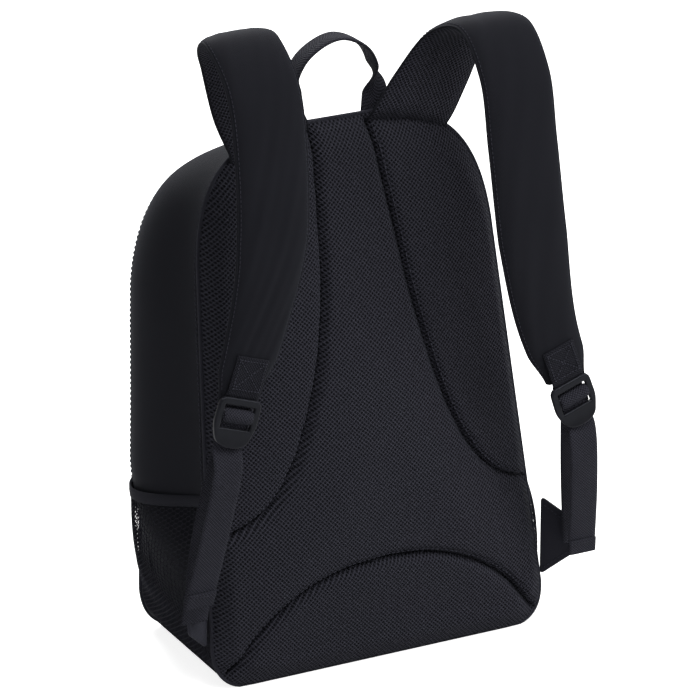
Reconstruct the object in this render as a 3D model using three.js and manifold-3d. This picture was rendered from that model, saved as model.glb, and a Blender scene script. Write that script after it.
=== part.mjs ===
// School backpack: a padded main compartment with a wrap-round zip, a front pocket, two net side
// pockets, two shoulder straps with ladder-lock buckles, and a webbing haul loop.
// Millimetres, +Z up. The back panel faces -Y, and the origin is the centre of the flat base.
import * as THREE from 'three';
import { mergeVertices } from 'three/addons/utils/BufferGeometryUtils.js';
import Module from 'manifold-3d';

const wasm = await Module();
wasm.setup();

// Driving dimensions
const HALF_BASE = 150;        // half width of the bag near its base
const HALF_TOP = 131;         // half width where the top corners begin to turn
const BACK_HEIGHT = 433;      // top of the back panel seam
const FRONT_HEIGHT = 358;     // top of the front seam
const HALF_DEPTH = 68;        // half depth of the base
const BACK_LEAN = 0.185;      // how far the back seam leans forward for each unit of height
const FRONT_LEAN = 0.175;     // the same for the front seam
const FOOT_RADIUS = 34;       // turn of the bottom corners
const WALL = 3.6;             // padded wall
const GAP = 0.35;             // clearance between sewn neighbours
const BACK_CROWN = 27;        // how far the filled back panel swells
const FRONT_CROWN = 24;       // how far the filled front panel swells
const PAD_SWELL = 13;         // foam pads on the back panel
const SIDE_SWELL = 16;        // outward swell of the side gussets
const FLAP_HEIGHT = 190;      // where the front flap folds out
const ZIP_INSET = 18;         // the zip's centre line, behind the front seam
const TAPE = 11;              // visible width of each zip tape
const WEB_WIDTH = 25;         // polyester webbing
const WEB_THICK = 1.8;
const STRAP_WIDTH = 60;       // shoulder strap at its widest
const STRAP_THICK = 10;
const POCKET_TOP = 176;       // top edge of the front pocket
const POCKET_HALF = 116;      // half width of the front pocket
const POCKET_DEPTH = 46;      // how far the front pocket stands out from the front seam
const NET_TOP_BACK = 152;     // top edge of the side pockets at the back seam
const NET_TOP_FRONT = 127;    // and at the front seam
const NET_BINDING = 9;          // height of the elastic binding on the side pockets
const RING_POINTS = 44;       // points round each body section

const colours = {
  cloth: [0x1c1c20, 0.85], mesh: [0x26262b, 0.95], webbing: [0x232328, 0.8],
  plastic: [0x151517, 0.4], net: [0x1a1a1d, 0.9], zip: [0x111113, 0.6], lining: [0x3a3b40, 0.9],
};

const backY = (z) => -HALF_DEPTH + BACK_LEAN * z;
const frontY = (z) => HALF_DEPTH + FRONT_LEAN * z;
const point = (x, y, z) => new THREE.Vector3(x, y, z);

// Mesh and boolean helpers

function closedMesh(vertices, triangles) {
  const geometry = new THREE.BufferGeometry();
  const flat = vertices.flatMap((v) => [v.x, v.y, v.z]);
  geometry.setAttribute('position', new THREE.Float32BufferAttribute(flat, 3));
  geometry.setIndex(triangles);
  return geometry;
}

function toSolid(geometry) {
  const bare = geometry.clone();
  bare.deleteAttribute('normal');
  bare.deleteAttribute('uv');
  const merged = mergeVertices(bare, 1e-4);
  return new wasm.Manifold(new wasm.Mesh({
    numProp: 3,
    vertProperties: new Float32Array(merged.attributes.position.array),
    triVerts: new Uint32Array(merged.index.array),
  }));
}

function toGeometry(solid) {
  const mesh = solid.getMesh();
  const geometry = new THREE.BufferGeometry();
  geometry.setAttribute('position', new THREE.Float32BufferAttribute(mesh.vertProperties, 3));
  geometry.setIndex(Array.from(mesh.triVerts));
  return geometry;
}

function box(low, high) {
  const size = high.clone().sub(low);
  const geometry = new THREE.BoxGeometry(size.x, size.y, size.z);
  geometry.translate(low.x + size.x / 2, low.y + size.y / 2, low.z + size.z / 2);
  return geometry;
}

// A slab between two Y values, sheared so that its faces lean with height.
function leaningSlab(lean, yLow, yHigh) {
  const slab = box(point(-300, yLow, -20), point(300, yHigh, 600));
  const shear = new THREE.Matrix4().set(1, 0, 0, 0, 0, 1, lean, 0, 0, 0, 1, 0, 0, 0, 0, 1);
  return toSolid(slab.applyMatrix4(shear));
}

const behindBack = (offset) => leaningSlab(BACK_LEAN, -300, -HALF_DEPTH + offset);
const afterBack = (offset) => leaningSlab(BACK_LEAN, -HALF_DEPTH + offset, 400);
const behindFront = (offset) => leaningSlab(FRONT_LEAN, -300, HALF_DEPTH + offset);
const afterFront = (offset) => leaningSlab(FRONT_LEAN, HALF_DEPTH + offset, 400);
const heights = (low, high) => toSolid(box(point(-300, -300, low), point(300, 400, high)));

// Rings of equal length become a closed body, with a fan of triangles at each end.
function loft(rings) {
  const count = rings[0].length;
  const vertices = rings.flat();
  const triangles = [];
  for (let ring = 0; ring < rings.length - 1; ring += 1) {
    for (let k = 0; k < count; k += 1) {
      const a = ring * count + k;
      const b = ring * count + (k + 1) % count;
      triangles.push(a, b, b + count, a, b + count, a + count);
    }
  }
  const centre = (ring) => ring.reduce((sum, v) => sum.add(v), point(0, 0, 0)).divideScalar(count);
  const first = vertices.push(centre(rings[0])) - 1;
  const last = vertices.push(centre(rings[rings.length - 1])) - 1;
  const lastStart = (rings.length - 1) * count;
  for (let k = 0; k < count; k += 1) {
    const next = (k + 1) % count;
    triangles.push(first, next, k, last, lastStart + k, lastStart + next);
  }
  return facingOut(closedMesh(vertices, triangles));
}

// Turns a closed mesh inside out if its faces point inwards.
function facingOut(geometry) {
  const position = geometry.attributes.position;
  const index = geometry.index.array;
  const corner = [0, 1, 2].map(() => new THREE.Vector3());
  let volume = 0;
  for (let t = 0; t < index.length; t += 3) {
    corner.forEach((c, n) => c.fromBufferAttribute(position, index[t + n]));
    volume += corner[0].dot(corner[1].cross(corner[2]));
  }
  if (volume < 0) {
    for (let t = 0; t < index.length; t += 3) {
      [index[t], index[t + 1]] = [index[t + 1], index[t]];
    }
  }
  return geometry;
}

// A flat band swept along a smooth path; side(u) gives the direction of its width.
function band({ path, width, thick, side, steps = 16 }) {
  const curve = new THREE.CatmullRomCurve3(path, false, 'centripetal');
  const rings = [];
  for (let n = 0; n <= steps; n += 1) {
    const u = n / steps;
    const centre = curve.getPointAt(u);
    const along = curve.getTangentAt(u);
    const across = side(u).clone().addScaledVector(along, -side(u).dot(along)).normalize();
    const up = along.clone().cross(across);
    const half = width(u) / 2;
    const soft = Math.min(thick * 0.3, half * 0.3);
    const section = [[half, thick / 2 - soft], [half - soft, thick / 2], [-half + soft, thick / 2],
      [-half, thick / 2 - soft], [-half, soft - thick / 2], [soft - half, -thick / 2],
      [half - soft, -thick / 2], [half, soft - thick / 2]];
    rings.push(section.map(([s, t]) => centre.clone().addScaledVector(across, s).addScaledVector(up, t)));
  }
  return loft(rings);
}

// The bag's body

// Points round an arch-shaped seam, from the middle of the base and back to it.
function archOutline(halfBase, halfTop, height, inset) {
  const foot = inset;
  const turn = FOOT_RADIUS - inset;
  const base = halfBase - inset;
  const shoulder = halfTop - inset;
  const top = height - inset;
  const half = new THREE.Path();
  half.moveTo(0, foot);
  half.lineTo(base - turn, foot);
  half.quadraticCurveTo(base, foot, base, foot + turn);
  half.lineTo(shoulder, height * 0.775);
  half.bezierCurveTo(shoulder - 6, top * 0.93, shoulder * 0.73, top - 3, shoulder * 0.24, top);
  half.lineTo(0, top);
  const right = half.getSpacedPoints(RING_POINTS / 2);
  const left = right.slice(1, -1).reverse().map((p) => new THREE.Vector2(-p.x, p.y));
  return [...right, ...left];
}

// One closed body in the shape of the filled bag. inset moves it inwards, and swell grows its back.
function bagBody({ inset = 0, backSwell = BACK_CROWN, frontSwell = FRONT_CROWN, sideSwell = SIDE_SWELL }) {
  const back = archOutline(HALF_BASE, HALF_TOP, BACK_HEIGHT, inset);
  const front = archOutline(HALF_BASE - 3, HALF_TOP - 8, FRONT_HEIGHT, inset);
  const section = (across) => back.map((b, k) => {
    const f = front[k];
    const x = THREE.MathUtils.lerp(b.x, f.x, across);
    const z = THREE.MathUtils.lerp(b.y, f.y, across);
    const y = THREE.MathUtils.lerp(backY(b.y) + inset, frontY(f.y) - inset, across);
    const swell = sideSwell * Math.sin(Math.PI * across) * THREE.MathUtils.smoothstep(z, 30, 120);
    const outward = point(x / HALF_BASE, 0, 0.4 * Math.max(0, z / BACK_HEIGHT - 0.8));
    return point(x, y, z).addScaledVector(outward, swell);
  });
  const cap = (seam, swell, scale) => {
    const middle = point(0, 0, BACK_HEIGHT * 0.46);
    return seam.map((p) => {
      const z = THREE.MathUtils.lerp(middle.z, p.z, scale);
      const fullness = swell * (1 - scale ** 2) * THREE.MathUtils.smoothstep(z, -60, 90);
      const lean = (swell < 0 ? BACK_LEAN : FRONT_LEAN) * (z - p.z);
      return point(p.x * scale, p.y + lean + fullness, z);
    });
  };
  const rings = [0, 0.2, 0.4, 0.6, 0.8, 1].map(section);
  const scales = [0.86, 0.62, 0.34];
  const backCaps = scales.map((s) => cap(rings[0], -backSwell, s)).reverse();
  const frontCaps = scales.map((s) => cap(rings[5], frontSwell, s));
  return toSolid(loft([...backCaps, ...rings, ...frontCaps]));
}

const outer = bagBody({});
const inner = bagBody({ inset: WALL, backSwell: BACK_CROWN - 1, frontSwell: FRONT_CROWN - 1 });
const shell = outer.subtract(inner);
const ring = shell.intersect(afterBack(2.3));

const bag = new THREE.Group();

function add(group, name, geometry, finish) {
  const [colour, roughness] = colours[finish];
  const material = new THREE.MeshStandardMaterial({ color: colour, roughness, metalness: 0 });
  const mesh = new THREE.Mesh(geometry, material);
  mesh.name = name;
  group.add(mesh);
  return mesh;
}

const addSolid = (name, solid, finish) => add(bag, name, toGeometry(solid), finish);

// The largest body of a solid, without the slivers that a cut can leave.
function whole(solid) {
  return solid.decompose().sort((a, b) => b.volume() - a.volume())[0];
}

// Sewn shell panels

const SEAM_LOW = 46;            // top of the base panel
const SEAM_SIDE = 118;          // cross seam of the side gussets, inside the net pockets
const zipBack = -ZIP_INSET - TAPE;
const zipFront = -ZIP_INSET + TAPE;
const gusset = ring.intersect(behindFront(-5.7 - GAP));

addSolid('back_panel', whole(shell.intersect(behindBack(-2.3))), 'cloth');
addSolid('base_panel', whole(gusset.intersect(heights(-10, SEAM_LOW))), 'cloth');
const lowSide = gusset.intersect(heights(SEAM_LOW + GAP, SEAM_SIDE));
const sides = lowSide.decompose();
sides.forEach((solid) => {
  const side = solid.boundingBox().max[0] > 50 ? 'right' : 'left';
  addSolid(`lower_gusset_${side}`, solid, 'cloth');
});
const upperRing = ring.intersect(heights(SEAM_SIDE + GAP, 600));
const aboveFlap = heights(FLAP_HEIGHT + GAP, 600);
const rearGusset = upperRing.intersect(behindFront(zipBack - GAP));
addSolid('upper_gusset', whole(rearGusset), 'cloth');
const zipRegion = upperRing.intersect(afterFront(zipBack)).intersect(behindFront(zipFront));
const zipHigh = zipRegion.intersect(aboveFlap);
addSolid('main_zip_tape_rear', whole(zipHigh.intersect(behindFront(-ZIP_INSET - GAP))), 'zip');
addSolid('main_zip_tape_front', whole(zipHigh.intersect(afterFront(-ZIP_INSET + GAP))), 'zip');
const zipEnds = upperRing.intersect(afterFront(zipBack)).intersect(behindFront(-6.05));
zipEnds.intersect(heights(SEAM_SIDE + GAP, FLAP_HEIGHT)).decompose().forEach((solid) => {
  const side = solid.boundingBox().max[0] > 50 ? 'right' : 'left';
  addSolid(`zip_end_patch_${side}`, solid, 'cloth');
});
const frontWall = shell.intersect(afterFront(-5.7));
addSolid('front_panel_lower', whole(frontWall.intersect(heights(-10, FLAP_HEIGHT))), 'cloth');
const flap = shell.intersect(afterFront(zipFront + GAP)).intersect(aboveFlap);
addSolid('front_flap', whole(flap), 'cloth');

// Piping round the back seam

function piping() {
  const loop = archOutline(HALF_BASE, HALF_TOP, BACK_HEIGHT, -0.1);
  const curve = new THREE.CatmullRomCurve3(loop.map((p) => point(p.x, backY(p.y), Math.max(p.y, 2.6))), true);
  const radius = 1.8;
  const steps = 72;
  const sides8 = 6;
  const vertices = [];
  const triangles = [];
  for (let n = 0; n < steps; n += 1) {
    const centre = curve.getPointAt(n / steps);
    const along = curve.getTangentAt(n / steps);
    const across = point(0, 1, 0).addScaledVector(along, -along.y).normalize();
    const up = along.clone().cross(across);
    for (let k = 0; k < sides8; k += 1) {
      const angle = (k / sides8) * 2 * Math.PI;
      vertices.push(centre.clone().addScaledVector(across, radius * Math.cos(angle))
        .addScaledVector(up, radius * Math.sin(angle)));
      const next = ((n + 1) % steps) * sides8;
      const a = n * sides8 + k;
      const b = n * sides8 + (k + 1) % sides8;
      triangles.push(a, b, next + (k + 1) % sides8, a, next + (k + 1) % sides8, next + k);
    }
  }
  return facingOut(closedMesh(vertices, triangles));
}
add(bag, 'back_seam_piping', piping(), 'cloth');

// Foam pads of the back panel, under spacer mesh

const PAD_EDGE = 4;             // thickness of the pads at the seam
const padSkin = bagBody({ inset: PAD_EDGE, backSwell: BACK_CROWN + PAD_SWELL - PAD_EDGE })
  .translate([0, -2 * PAD_EDGE, 0])
  .subtract(bagBody({ inset: -GAP, backSwell: BACK_CROWN + GAP })).intersect(behindBack(-3));

function padPrism(outline) {
  const shape = new THREE.Shape(outline);
  const prism = new THREE.ExtrudeGeometry(shape, { depth: 400, bevelEnabled: false });
  prism.rotateX(Math.PI / 2);
  prism.translate(0, 200, 0);
  return toSolid(prism);
}

const spline = (points, count) => new THREE.SplineCurve(points.map(([x, z]) => new THREE.Vector2(x, z)))
  .getPoints(count);
const CHANNEL = 3;              // half width of the sewn channel between two pads
const wingSeam = [[24, 440], [30, 380], [41, 290], [58, 222], [79, 172], [106, 140], [175, 108]];
const lumbarSeam = [[175, -22], [134, 20], [110, 49], [76, 73], [40, 86], [0, 90]];
const shifted = (points, dx, dz) => points.map(([x, z]) => [x + dx, z + dz]);
const mirrored = (points) => points.map((p) => new THREE.Vector2(-p.x, p.y)).reverse();

const wingEdge = spline(shifted(wingSeam, CHANNEL, CHANNEL), 14);
const wing = [...wingEdge, new THREE.Vector2(260, 108), new THREE.Vector2(260, 470)];
addSolid('back_pad_wing_right', whole(padSkin.intersect(padPrism(wing))), 'mesh');
addSolid('back_pad_wing_left', whole(padSkin.intersect(padPrism(mirrored(wing)))), 'mesh');
const lumbarEdge = spline(shifted(lumbarSeam, 0, -CHANNEL), 10);
addSolid('lumbar_pad', whole(padSkin.intersect(padPrism([...lumbarEdge, ...mirrored(lumbarEdge).slice(1)]))), 'mesh');
const centreRight = [...spline(shifted(lumbarSeam, 0, CHANNEL), 10).reverse(),
  ...spline(shifted(wingSeam, -CHANNEL, -CHANNEL), 14).reverse()];
addSolid('back_pad_centre', whole(padSkin.intersect(padPrism([...centreRight, ...mirrored(centreRight).slice(0, -1)]))), 'mesh');

// Sleeve for a laptop or folder inside the main compartment

const sleeve = box(point(-112, -WALL / 2, 12), point(112, WALL / 2, 270));
sleeve.applyMatrix4(new THREE.Matrix4().set(1, 0, 0, 0, 0, 1, BACK_LEAN, -42, 0, 0, 1, 0, 0, 0, 0, 1));
add(bag, 'laptop_sleeve', sleeve, 'lining');

// Front pocket: a tub on the front panel, open along its top under the zip

// Each row is its height along the pocket and how full the pocket is there.
const pocketRows = [[0, 0.78], [0.3, 0.96], [0.6, 1], [0.9, 0.93], [1, 0.85]];

function pocketBody(inset) {
  const columns = 12;
  const rings = pocketRows.map(([up, fullness]) => {
    const z = THREE.MathUtils.lerp(14 + inset, POCKET_TOP - inset, up);
    const half = POCKET_HALF - inset - 6 * up;
    const loop = [];
    for (let k = 0; k <= columns; k += 1) {
      const across = (k / columns) * 2 - 1;
      const out = (POCKET_DEPTH - inset) * fullness * (1 - across ** 6);
      loop.push(point(half * across, frontY(z) + out, z));
    }
    loop.push(point(half, frontY(z) - 30, z), point(-half, frontY(z) - 30, z));
    return loop;
  });
  return toSolid(loft(rings));
}
const frontClear = bagBody({ inset: -GAP, frontSwell: FRONT_CROWN + 0.6 });
const pocketTub = pocketBody(0).subtract(pocketBody(2.4)).subtract(frontClear);
const pocketLid = heights(POCKET_TOP - 2.6, POCKET_TOP + 5);
addSolid('front_pocket', whole(pocketTub.subtract(pocketLid)), 'cloth');
addSolid('front_pocket_zip', whole(pocketTub.intersect(heights(POCKET_TOP - 2.6 + GAP, POCKET_TOP + 5))), 'zip');

// Net side pockets, open at the top, with a bound elastic edge

function netSide(sideSign, lowAt, highAt, extra, thick) {
  const columns = 10;
  const rows = 6;
  const outerGrid = [];
  const innerGrid = [];
  for (let r = 0; r <= rows; r += 1) {
    for (let c = 0; c <= columns; c += 1) {
      const v = THREE.MathUtils.lerp(0.03, 0.93, c / columns);
      const z = THREE.MathUtils.lerp(lowAt(v), highAt(v), r / rows);
      const y = THREE.MathUtils.lerp(backY(z), frontY(z), v);
      const wall = HALF_BASE - (HALF_BASE - HALF_TOP) * Math.max(0, z - 34) / 300;
      const swell = SIDE_SWELL * Math.sin(Math.PI * v) * THREE.MathUtils.smoothstep(z, 30, 120);
      const ends = Math.min(1, Math.sin(Math.PI * (c / columns)) ** 0.5 + 0.08);
      const stand = 1.8 + (15 * THREE.MathUtils.smoothstep(z, 20, 90) + extra) * ends;
      const x = wall + swell + stand - (z < 34 ? (34 - z) ** 2 / 68 : 0);
      outerGrid.push(point(sideSign * (x + thick), y, z));
      innerGrid.push(point(sideSign * x, y, z));
    }
  }
  return sheetSolid(outerGrid, innerGrid, rows, columns);
}

// Two matching grids of points become a closed sheet.
function sheetSolid(outerGrid, innerGrid, rows, columns) {
  const vertices = [...outerGrid, ...innerGrid];
  const span = columns + 1;
  const offset = outerGrid.length;
  const triangles = [];
  const quad = (a, b, c, d) => triangles.push(a, b, c, a, c, d);
  for (let r = 0; r < rows; r += 1) {
    for (let c = 0; c < columns; c += 1) {
      const a = r * span + c;
      quad(a, a + 1, a + span + 1, a + span);
      quad(offset + a, offset + a + span, offset + a + span + 1, offset + a + 1);
    }
  }
  const edge = (a, b) => quad(b, a, offset + a, offset + b);
  for (let c = 0; c < columns; c += 1) {
    edge(c, c + 1);
    edge(rows * span + c + 1, rows * span + c);
  }
  for (let r = 0; r < rows; r += 1) {
    edge((r + 1) * span, r * span);
    edge(r * span + columns, (r + 1) * span + columns);
  }
  return facingOut(closedMesh(vertices, triangles));
}

for (const [side, sign] of [['left', -1], ['right', 1]]) {
  const netBase = () => 16;
  const netTop = (v) => THREE.MathUtils.lerp(NET_TOP_BACK, NET_TOP_FRONT, v) - NET_BINDING;
  const bindingBase = (v) => netTop(v) + GAP;
  const bindingTop = (v) => netTop(v) + NET_BINDING;
  add(bag, `side_pocket_net_${side}`, netSide(sign, netBase, netTop, 0, 1.4), 'net');
  add(bag, `side_pocket_binding_${side}`, netSide(sign, bindingBase, bindingTop, 0.4, 2.2), 'webbing');
}

// Harness: shoulder straps, their patches, buckles, webbing and anchor tabs

const PIVOT_Z = 427;
const strapMiddle = [[64, 2, PIVOT_Z + 11], [82, 2, 468], [103, -12, 506], [114, -43, 521], [113, -78, 494],
  [112, -92, 443], [115, -101, 365], [126, -99, 300], [141, -101, 250]];
// The wearer's adjustments leave one strap a little higher than the other: at its top, then at its end.
const strapRise = { left: [8, 12], right: [-12, -34] };
const strapSpread = { left: -3, right: -4 };

function strapPath(side) {
  const sign = side === 'left' ? -1 : 1;
  return strapMiddle.map(([x, y, z], n) => {
    const ease = Math.min(1, n / 3);
    const spread = strapSpread[side] * ease * Math.min(1, (8 - n) / 3);
    const [riseTop, riseEnd] = strapRise[side];
    const rise = THREE.MathUtils.lerp(riseTop, riseEnd, Math.max(0, n - 3) / 5);
    return point(sign * (x + spread), y, z + rise * ease);
  });
}

const tailHang = { left: { reach: 24, drop: 140 }, right: { reach: 10, drop: 124 } };

const strapWidth = (u) => STRAP_WIDTH + 8 * Math.max(0, 0.2 - u) * 5 - 14 * Math.max(0, u - 0.7) / 0.3;
const sideways = () => point(1, 0, 0);

function buckleShape() {
  const frame = new THREE.Shape();
  frame.moveTo(-17, 22);
  frame.lineTo(17, 22);
  frame.lineTo(18, 2);
  frame.bezierCurveTo(18, -10, 12, -17, 0, -18);
  frame.bezierCurveTo(-12, -17, -18, -10, -18, 2);
  const slot = (low, high) => {
    const hole = new THREE.Path();
    hole.moveTo(-13.5, low);
    hole.lineTo(13.5, low);
    hole.lineTo(13.5, high);
    hole.lineTo(-13.5, high);
    frame.holes.push(hole);
  };
  slot(11, 18);
  slot(-4, 5);
  return frame;
}

for (const side of ['left', 'right']) {
  const sign = side === 'left' ? -1 : 1;
  const path = strapPath(side);
  add(bag, `shoulder_strap_${side}`, band({ path, width: strapWidth, thick: STRAP_THICK, side: sideways, steps: 26 }), 'cloth');

  const end = path[path.length - 1];
  const down = end.clone().sub(path[path.length - 2]).normalize();
  const front = point(0, -1, 0).addScaledVector(down, down.y).normalize();
  const along = (distance, out) => end.clone().addScaledVector(down, distance).addScaledVector(front, out);
  const face = STRAP_THICK / 2;
  add(bag, `strap_patch_${side}`, band({
    path: [along(-35, face + 1.4), along(-16, face + 1.4), along(-1.5, face + 1.4)],
    width: () => 30, thick: WEB_THICK, side: sideways, steps: 6,
  }), 'webbing');
  add(bag, `buckle_loop_${side}`, band({
    path: [along(0.8, 1), along(5, 1), along(10, 1.2)],
    width: () => WEB_WIDTH, thick: WEB_THICK, side: sideways, steps: 5,
  }), 'webbing');

  const buckle = new THREE.ExtrudeGeometry(buckleShape(), { depth: 3.4, bevelEnabled: false });
  buckle.translate(0, 0, -1.7);
  const acrossBuckle = point(1, 0, 0).addScaledVector(down, -down.x).normalize();
  const basis = new THREE.Matrix4().makeBasis(acrossBuckle, down.clone().negate(), acrossBuckle.clone().cross(down.clone().negate()));
  buckle.applyMatrix4(basis);
  const seat = along(25, 5);
  buckle.translate(seat.x, seat.y, seat.z);
  add(bag, `ladder_lock_buckle_${side}`, buckle, 'plastic');

  const tailTop = along(33, 10);
  const { reach, drop } = tailHang[side];
  const tailEnd = point(tailTop.x + sign * reach, tailTop.y + 16, tailTop.z - drop);
  add(bag, `webbing_tail_${side}`, band({
    path: [tailTop, tailTop.clone().lerp(tailEnd, 0.5).add(point(0, -3, 0)), tailEnd],
    width: () => WEB_WIDTH, thick: WEB_THICK, side: sideways, steps: 8,
  }), 'webbing');

  const anchorLow = 38;
  const anchorHigh = 102;
  const tip = point(sign * 171, -84, 66);
  const tab = new THREE.Shape();
  tab.moveTo(0, -32);
  tab.lineTo(26, -9);
  tab.lineTo(26, 13);
  tab.lineTo(0, 32);
  const tabPlate = new THREE.ExtrudeGeometry(tab, { depth: 2.4, bevelEnabled: false });
  tabPlate.translate(0, 0, -1.2);
  const rootPoint = point(sign * 155.5, backY(70) - 6, (anchorLow + anchorHigh) / 2);
  const outward = tip.clone().sub(rootPoint).setZ(0).normalize();
  const plateNormal = outward.clone().cross(point(0, 0, 1));
  tabPlate.applyMatrix4(new THREE.Matrix4().makeBasis(outward, point(0, 0, 1), plateNormal));
  tabPlate.translate(rootPoint.x, rootPoint.y, rootPoint.z);
  add(bag, `anchor_tab_${side}`, tabPlate, 'cloth');

  const lowerStart = along(27, -1);
  const tabFront = rootPoint.clone().addScaledVector(outward, 30).add(point(0, -2, 2));
  add(bag, `lower_webbing_${side}`, band({
    path: [lowerStart, lowerStart.clone().lerp(tabFront, 0.5).add(point(sign * 2, 5, 0)), tabFront],
    width: () => WEB_WIDTH - 2, thick: WEB_THICK, side: sideways, steps: 8,
  }), 'webbing');
}

// Haul loop of doubled webbing, sewn in behind the strap ends

const LOOP_HALF = 33;
const LOOP_TOP = 500;
const loopHalf = [[LOOP_HALF, 21, 436], [LOOP_HALF + 3, 19, 460], [LOOP_HALF - 8, 14, 486]];
add(bag, 'haul_loop', band({
  path: [...loopHalf.map(([x, y, z]) => point(-x, y, z)), point(0, 12, LOOP_TOP),
    ...loopHalf.map(([x, y, z]) => point(x, y, z)).reverse()],
  width: (u) => 14 + 8 * Math.sin(Math.PI * u),
  thick: 3.4,
  side: () => point(0, 1, 0),
  steps: 20,
}), 'webbing');

// Zip sliders and their pullers

function sliderShape() {
  const shape = new THREE.Shape();
  shape.moveTo(-7, -3);
  shape.lineTo(-4, -5);
  shape.lineTo(6, -4);
  shape.lineTo(6, 4);
  shape.lineTo(-4, 5);
  shape.lineTo(-7, 3);
  return shape;
}

function pullerPlate() {
  const shape = new THREE.Shape();
  shape.moveTo(-3, 0);
  shape.lineTo(3, 0);
  shape.lineTo(4, 26);
  shape.lineTo(-4, 26);
  const plate = new THREE.ExtrudeGeometry(shape, { depth: 1.8, bevelEnabled: false });
  return toGeometry(toSolid(plate).subtract(toSolid(box(point(-1.6, 2, -1), point(1.6, 6, 3)))));
}

// slope is the tilt of the tape about X, and hang that of the puller in front of the slider.
function zipPull(name, place, slope, hang, mirror) {
  const slider = new THREE.ExtrudeGeometry(sliderShape(), { depth: 3.2, bevelEnabled: false });
  if (mirror) slider.rotateZ(Math.PI);
  slider.rotateX(slope);
  slider.translate(place.x, place.y, place.z);
  add(bag, `${name}_slider`, slider, 'plastic');
  const puller = pullerPlate();
  puller.rotateX(hang);
  const lift = point(0, 7.6, 1.6).applyAxisAngle(point(1, 0, 0), slope);
  puller.translate(place.x + lift.x, place.y + lift.y, place.z + lift.z);
  add(bag, `${name}_puller`, puller, 'plastic');
}

const ROOF = -0.62;             // slope of the bag's top
const zipPlaceY = frontY(FRONT_HEIGHT) - ZIP_INSET;
const zipPlaceZ = FRONT_HEIGHT + 20.5;
zipPull('main_zip_left', point(-9, zipPlaceY, zipPlaceZ), ROOF, ROOF, true);
zipPull('main_zip_right', point(9, zipPlaceY, zipPlaceZ), ROOF, ROOF, false);
zipPull('front_pocket_zip', point(-72, frontY(POCKET_TOP) + 33, POCKET_TOP + 0.5), 0, -1.2, false);

export default bag;
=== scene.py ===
"""School backpack: sewn cloth shell, spacer-mesh back pads, harness, net pockets, zips and haul loop."""

from __future__ import annotations

import logging
import math
from dataclasses import dataclass
from enum import Enum
from typing import Callable

import bpy
import numpy as np
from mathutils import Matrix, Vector


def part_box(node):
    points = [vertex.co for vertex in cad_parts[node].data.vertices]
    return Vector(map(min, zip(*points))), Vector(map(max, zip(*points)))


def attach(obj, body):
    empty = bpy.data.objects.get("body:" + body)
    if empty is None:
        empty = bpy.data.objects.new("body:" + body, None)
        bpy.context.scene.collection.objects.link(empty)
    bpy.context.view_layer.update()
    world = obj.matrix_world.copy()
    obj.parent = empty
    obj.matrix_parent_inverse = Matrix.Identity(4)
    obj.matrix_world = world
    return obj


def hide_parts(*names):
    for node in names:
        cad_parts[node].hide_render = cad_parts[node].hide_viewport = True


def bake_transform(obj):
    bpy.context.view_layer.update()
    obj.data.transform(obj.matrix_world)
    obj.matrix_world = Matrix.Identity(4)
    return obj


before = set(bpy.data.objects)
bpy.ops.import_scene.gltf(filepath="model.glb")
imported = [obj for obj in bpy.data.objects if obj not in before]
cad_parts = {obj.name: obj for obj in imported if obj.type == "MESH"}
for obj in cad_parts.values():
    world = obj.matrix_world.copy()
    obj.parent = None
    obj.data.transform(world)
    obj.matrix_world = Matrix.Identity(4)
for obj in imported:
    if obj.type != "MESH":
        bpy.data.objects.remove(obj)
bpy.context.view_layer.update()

MM = 0.001
ZIP_TAPE = 11 * MM
LOG = logging.getLogger("backpack")


class Side(Enum):
    """The wearer-facing side of a paired piece, with the sign of its X."""

    LEFT = -1
    RIGHT = 1

    @property
    def word(self) -> str:
        """The side's word in piece names."""
        return self.name.lower()


def smoothstep(value: np.ndarray, low: float, high: float) -> np.ndarray:
    """A smooth rise from 0 at low to 1 at high.

    Args:
        value: where to evaluate it.
        low: start of the rise.
        high: end of the rise.

    Returns:
        The eased values.
    """
    t = np.clip((value - low) / (high - low), 0.0, 1.0)
    return t * t * (3 - 2 * t)


def ripple(a: np.ndarray, b: np.ndarray, size: float, seed: int) -> np.ndarray:
    """Gentle unevenness of hand-sewn cloth, about -1 to 1.

    Args:
        a: first surface coordinate, in metres.
        b: second surface coordinate, in metres.
        size: typical distance between two swells, in metres.
        seed: picks the directions and phases.

    Returns:
        The unevenness at each point.
    """
    rng = np.random.RandomState(seed)
    total = np.zeros_like(a)
    waves = 7
    for _ in range(waves):
        angle = rng.uniform(0, math.pi)
        pitch = 2 * math.pi / (size * rng.uniform(0.7, 1.6))
        phase = rng.uniform(0, 2 * math.pi)
        total += np.sin((a * math.cos(angle) + b * math.sin(angle)) * pitch + phase)
    return total / math.sqrt(2 * waves)


def resample(points: np.ndarray, count: int) -> np.ndarray:
    """The same open line with evenly spaced points.

    Args:
        points: the line, one row a point.
        count: how many points to return.

    Returns:
        The evenly spaced points.
    """
    step = np.linalg.norm(np.diff(points, axis=0), axis=1)
    length = np.concatenate([[0.0], np.cumsum(step)])
    at = np.linspace(0.0, length[-1], count)
    return np.stack([np.interp(at, length, points[:, k]) for k in range(points.shape[1])], axis=1)


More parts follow.
